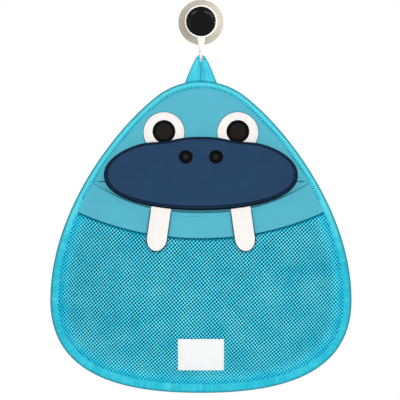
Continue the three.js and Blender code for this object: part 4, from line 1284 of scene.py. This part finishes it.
def hang_snout(points):
    """The snout's own places put on its hinge: bent back to the face at its sewn top and at its two ends, a
    little wavy, and leaning out below."""
    x, up, out = np.moveaxis(points, -1, 0)
    sewn = -SNOUT_SEWN * smooth(1 + up / 9) * smooth(1 - np.abs(x) / 30)
    ends = -SNOUT_ENDS * smooth((np.abs(x) - 50) / 80) ** 2
    wave = SNOUT_WAVE * np.sin(x / 31 + 0.5) * smooth(-up / 60)
    leaning = turned(np.stack([x, up, out + SNOUT_STAND + sewn + ends + wave], -1), "x", SNOUT_LEAN)
    return leaning + lay_down(hinge["snout_lift"])


def snout_stitch_line(own):
    """A stitch line in the snout's own places, hung with it, and its outward directions."""
    hung = hang_snout(own)
    return hung, hang_snout(own + [0, 0, 1]) - hung


def snout_backing():
    """A flat black layer with a rounded edge that shows as the dark rim."""
    shrink = np.linspace(0.97, 0, 14)
    edge = [(0.5, 0), (0.12, 0.15), (0, 0.5), (0, 1.0), (0.12, 1.35), (0.5, BACKING)]
    start = snout_rings(edge[:1], shrink, 0)[:0:-1]
    return np.concatenate([start, snout_rings(edge, shrink, 0)])


def snout_pad():
    """Foam under navy knit: a rounded edge, a sewn groove all round, and a low crown inside it."""
    edge = [(0.6, 0), (0.2, 0.2), (0, 0.7), (0, 1.2), (0.15, 1.6), (0.5, 1.9), (0.9, PAD_EDGE)]
    groove = [(1.4, 1.95), (1.8, 1.7), (2.2, 1.3), (STITCH_INSET, 1.15), (2.8, 1.3), (3.2, 1.75)]
    crown = [(3.9, 2.15), (5.2, 2.45), (7.0, 2.7), (9.5, PAD_FACE)]
    face = [(BACKING_RIM + inset, PAD_BACK + height) for inset, height in edge + groove + crown]
    front = snout_rings(face, np.linspace(0.96, 0, 24), PAD_CROWN)
    start = snout_rings(face[:1], np.linspace(0.96, 0, 10), 0)[:0:-1]
    return np.concatenate([start, front])


backing_own = snout_backing()
pad_own = snout_pad()
snout_back = ring_piece("snout_backing_cloth", hang_snout(backing_own), backing_felt, backing_own[..., :2])
# Painted shade: the pad's rounded rim and sewn groove turn to the deeper navy.
pad_painted_shade = np.broadcast_to((pad_own[..., 2].max(1) < PAD_BACK + 2.05)[:, None], pad_own.shape[:2])
snout = ring_piece("snout_pad", hang_snout(pad_own), navy_knit, pad_own[..., :2], marks={"deep": pad_painted_shade})
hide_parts("snout_backing")
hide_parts("snout")
snout_line = points_of(*snout_outline(BACKING_RIM + STITCH_INSET, 600).T, PAD_BACK + 1.35)
snout_stitches = stitch_rows(
    "snout_stitches", [snout_stitch_line(snout_line)], navy_thread, length=CLOSE_STITCH, thread=1.0, slant=0)
for piece, slot in ((snout_back, "black_felt"), (snout, "navy_fabric"), (snout_stitches, "navy_fabric")):
    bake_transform(piece)

nostrils = {}
for hand, side in (("left", -1), ("right", 1)):
    seat = np.array([side * NOSTRIL_X, -NOSTRIL_DROP, PAD_BACK + PAD_FACE])
    own = disc_rings(NOSTRIL_RADIUS, NOSTRIL_STITCH, PATCH_SWELL)
    rim = {"deep": sewn_rim(own, *NOSTRIL_SATIN)}
    own = own + seat
    nostril = ring_piece(f"nostril_disc_{hand}", hang_snout(own), nostril_felt, own[..., :2], marks=rim)
    ring, _ = circle_line(NOSTRIL_RADIUS - NOSTRIL_STITCH, PATCH_ROW)
    nostril_stitches = stitch_rows(
        f"nostril_stitches_{hand}", [snout_stitch_line(ring + seat)], black_thread, thread=0.4)
    belong([nostril], "snout", f"nostril_{hand}")
    belong([nostril_stitches], "snout")
    nostrils[hand] = (nostril, nostril_stitches)


# Tusks

# The tusk's outermost ring, a ring on its face, and how many places lie along each long side
TUSK_SIDE = 6
TUSK_FACE = 9
TUSK_RUN = 40


def tusk_rings():
    """A strip about its hinge, with a square upper end and a half-oval lower one: a flat back, rounded
    edges, and a face that swells a little, drawn in until it closes on its middle line."""
    half = TUSK_WIDTH / 2
    turn = np.linspace(np.pi, 2 * np.pi, 60)
    tip = TUSK_POINT * half - TUSK_LENGTH

    def outline(inset):
        """Round the lower end, up the right side, over the top and down the left, drawn in by inset."""
        r = half - inset
        round_end = np.stack([r * np.cos(turn), tip + (TUSK_POINT * half - inset) * np.sin(turn)], -1)
        top = TUSK_TAB - inset
        right = np.stack([np.full(TUSK_RUN, r), np.linspace(tip, top, TUSK_RUN + 1)[1:]], -1)
        over = np.stack([np.linspace(r, -r, 21)[1:], np.full(20, top)], -1)
        left = np.stack([np.full(TUSK_RUN, -r), np.linspace(top, tip, TUSK_RUN + 1)[1:]], -1)
        return np.concatenate([round_end, right, over, left])

    back = [(d, 0) for d in (half, 10, 6, 2)]
    edge = [(0.7, 0), (0.2, 0.12), (0, 0.35), (0, 0.65), (0.2, 0.88), (0.7, 1.0)]
    face = [(d, 1.0 + 0.25 * float(smooth(d / 8))) for d in (1.6, 3, 5, 7.5, 10, 12, half)]
    layers = back + edge + face
    rings = np.array([points_of(*outline(inset).T, height * TUSK_THICK) for inset, height in layers])
    return rings - [0, 0, TUSK_THICK / 2]


tusks = {}
for hand, side in (("left", -1), ("right", 1)):
    own = tusk_rings()
    x, up, out = np.moveaxis(own, -1, 0)
    curl = TUSK_CURL * smooth(-up / TUSK_LENGTH) ** 2 - TUSK_CUP * (x / TUSK_WIDTH * 2) ** 2
    hung = turned(turned(np.stack([x, up, out + curl], -1), "out", side * TUSK_SPLAY), "x", TUSK_LEAN)
    place = hinge[f"tusk_{hand}_lift"]
    tusk = ring_piece(f"tusk_strip_{hand}", hung + lay_down(place), white_felt, own[..., :2])
    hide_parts(f"tusk_{hand}")
    below = np.flatnonzero(np.roll(own[TUSK_SIDE, :, 1], TUSK_RUN) < -1)
    side_line, face_line = (np.roll(hung[ring], TUSK_RUN, 0)[below] for ring in (TUSK_SIDE, TUSK_FACE))
    # Painted shadow: a thick dark thread round the tusk's sides and lower end.
    tusk_painted_shadow = stitch_rows(
        f"tusk_painted_shadow_{hand}", [(side_line + lay_down(place), side_line - face_line)], painted_shadow_thread,
        length=CLOSE_STITCH, thread=2.6, slant=0)
    for piece in (tusk, tusk_painted_shadow):
        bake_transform(piece)
    tusks[hand] = (tusk, tusk_painted_shadow)


# More sewing on the bag

hem_up = HEM_UP + HEM_STITCH
hem_x = np.linspace(-1, 1, 300) * half_width(np.array([hem_up]), ROW_END)[0]
hem_line = points_of(hem_x, hem_up, face_front(hem_x, np.full(300, hem_up)) - 0.25)
mouth_x = np.linspace(-1, 1, 400) * (MOUTH_HALF - ROW_END)
low_x = np.linspace(-1, 1, 400) * half_width(np.array([band_edge(170.0)]), ROW_END)[0]
mouth_line, band_line = (
    (points_of(x, up, FRONT_LAYER[1] + rise_at(x, up) - 0.35), belly_normal(x, up))
    for x, up in ((mouth_x, mouth_edge(mouth_x) - MOUTH_STITCH), (low_x, band_edge(low_x) + BAND_STITCH)))
bag_stitches = stitch_rows("panel_stitches", [(hem_line, facing(hem_line, 0, 1.0)), mouth_line], teal_thread)
band_stitches = stitch_rows(
    "band_stitches", [band_line], pale_thread, length=2.6, pitch=TICK_PITCH, slant=TICK_SLANT)

# Painted shade: dark thread lines under the face panel's hem and along the band's upper edge, where the
# mouth's recess is in shade.
shade_line_rows = [points_of(hem_x, HEM_UP - low, FRONT_LAYER[0] + 0.7) for low in (0.1, 0.8)]
shade_line_rows = [(line, facing(line, -0.8, 0.6)) for line in shade_line_rows]
smile_x = np.linspace(-1, 1, 400) * (MOUTH_HALF - 4)
smile = points_of(
    smile_x, mouth_edge(smile_x) + 0.1, FRONT_LAYER[0] + 0.7 + rise_at(smile_x, mouth_edge(smile_x)))
shade_line_rows.append((smile, facing(smile, 0.8, 0.6)))
painted_shade_rows = stitch_rows("hem_painted_shade_lines", shade_line_rows, painted_shade_thread, length=CLOSE_STITCH, thread=0.9, slant=0)
belong([band_stitches, bag_stitches, painted_shade_rows], "bag")

low, high = LABEL_LOW + LABEL_STITCH, LABEL_LOW + LABEL_HEIGHT - LABEL_STITCH
wide = LABEL_WIDTH / 2 - LABEL_STITCH
corners = np.array([(-wide, low), (wide, low), (wide, high), (-wide, high), (-wide, low)])
label_lines = []
for start, end in zip(corners[:-1], corners[1:]):
    x, up = lerp(start[:, None], end[:, None], np.linspace(0, 1, 80))
    line = points_of(x, up, label_seat(x, up) + LABEL_THICK - 0.25)
    label_lines.append((line, belly_normal(x, up)))
label_stitches = stitch_rows("label_stitches", label_lines, white_thread, thread=0.42)
belong([label_stitches], "bag")


# Stage

def stage_floor(low=-0.62, reach=0.95, near=0.35, far=0.9):
    """A pale floor below the bag that fades out into the white backdrop, so only the shadow on it shows."""
    finish, tree, shader = new_finish("pale_floor")
    mesh = bpy.data.meshes.new("floor")
    corners = [(-reach, -reach, low), (reach, -reach, low), (reach, reach, low), (-reach, reach, low)]
    mesh.from_pydata(corners, [], [(0, 1, 2, 3)])
    place = add(tree, "TexCoord")
    level = add(tree, "VectorMath", {0: place.outputs["Object"], 1: (1.0, 1.0, 0.0)}, operation="MULTIPLY")
    away = add(tree, "VectorMath", {0: level}, operation="LENGTH").outputs["Value"]
    fade = add(tree, "MapRange", {0: away, 1: near, 2: far, 3: 1.0, 4: 0.0}, interpolation_type="SMOOTHSTEP")
    fill(tree, shader, {"Base Color": colour("#f4f4f2"), "Roughness": 0.9, "Alpha": fade})
    mesh.materials.append(finish)
    floor = bpy.data.objects.new("floor", mesh)
    bpy.context.scene.collection.objects.link(floor)


def white_world(level):
    """White where the camera, a reflection or glass sees it, and a plain even fill on everything else."""
    world = bpy.data.worlds.new("white_backdrop")
    bpy.context.scene.world = world
    world.use_nodes = True
    tree = world.node_tree
    tree.nodes.clear()
    path = add(tree, "LightPath").outputs
    camera, glossy, glass = (path[f"Is {kind} Ray"] for kind in ("Camera", "Glossy", "Transmission"))
    seen = add(tree, "Math", {0: camera, 1: glossy}, operation="MAXIMUM")
    seen = add(tree, "Math", {0: seen, 1: glass}, operation="MAXIMUM")
    strength = add(tree, "MapRange", {0: seen, 3: level, 4: 1.0})
    sky = add(tree, "Background", {"Color": (1, 1, 1, 1), "Strength": strength})
    add(tree, "OutputWorld", {"Surface": sky})


def add_lamp(lamp, place, aim):
    """A lamp at a place, turned to its aim, and its object."""
    box = bpy.data.objects.new(lamp.name, lamp)
    box.location = place
    x, y, z = unit(np.array(aim) - np.array(place))
    box.rotation_euler = (math.acos(-z), 0, math.atan2(y, x) - math.pi / 2)
    bpy.context.scene.collection.objects.link(box)
    return box


def soft_box(name, place, wide, tall, watts, aim=(0, -0.02, -0.28), mirrored=True):
    """A soft box at a place, turned to the bag. One that is not mirrored leaves no highlight."""
    lamp = bpy.data.lights.new(name, "AREA")
    lamp.shape = "RECTANGLE"
    lamp.size = wide
    lamp.size_y = tall
    lamp.energy = watts
    add_lamp(lamp, place, aim).visible_glossy = mirrored


def side_spot(name, place, watts):
    """A narrow spot from the right that grazes the suction cup and leaves its left side in the dish's
    shade."""
    lamp = bpy.data.lights.new(name, "SPOT")
    lamp.energy = watts
    lamp.spot_size = math.radians(8)
    lamp.spot_blend = 0.6
    lamp.shadow_soft_size = 0.02
    add_lamp(lamp, place, (0, -0.01, 0))


def front_camera(distance=2.1, frame_width=0.5299, middle=(-0.0012, -0.2363), sensor=36, depth=0.01):
    """Straight in front of the bag, far enough back for the photograph's flat view. The frame is square, and
    its width is taken at a depth in front of the wall."""
    lens = bpy.data.cameras.new("front")
    lens.sensor_width = sensor
    lens.lens = sensor * (distance - depth) / frame_width
    lens.clip_end = 50
    camera = bpy.data.objects.new("front", lens)
    camera.location = (middle[0], -distance, middle[1])
    camera.rotation_euler = (math.pi / 2, 0, 0)
    bpy.context.scene.collection.objects.link(camera)
    bpy.context.scene.camera = camera


stage_floor()
white_world(0.28)
soft_box("key", (1.0, -1.6, 0.75), 0.6, 0.6, 4.5)
soft_box("front", (0.06, -2.3, -0.25), 0.3, 0.3, 23.5, mirrored=False)
soft_box("fill", (-1.2, -1.6, -0.1), 1.2, 1.2, 3)
for side in (-1, 1):
    soft_box("top", (side * 0.45, -1.6, 0.75), 0.45, 0.25, 2.4, aim=(0, -0.01, 0))
soft_box("back_fill", (0.4, 1.8, 0.6), 1.4, 1.4, 20)
side_spot("cup_side", (0.6, -0.14, 0.03), 23)
front_camera()
bpy.context.scene.view_settings.view_transform = "Standard"


# The pieces of each side

for hand in ("left", "right"):
    white, pupil, eye_stitches, pupil_stitches = eye_parts[hand]
    tusk, tusk_painted_shadow = tusks[hand]
    nostril, nostril_stitches = nostrils[hand]
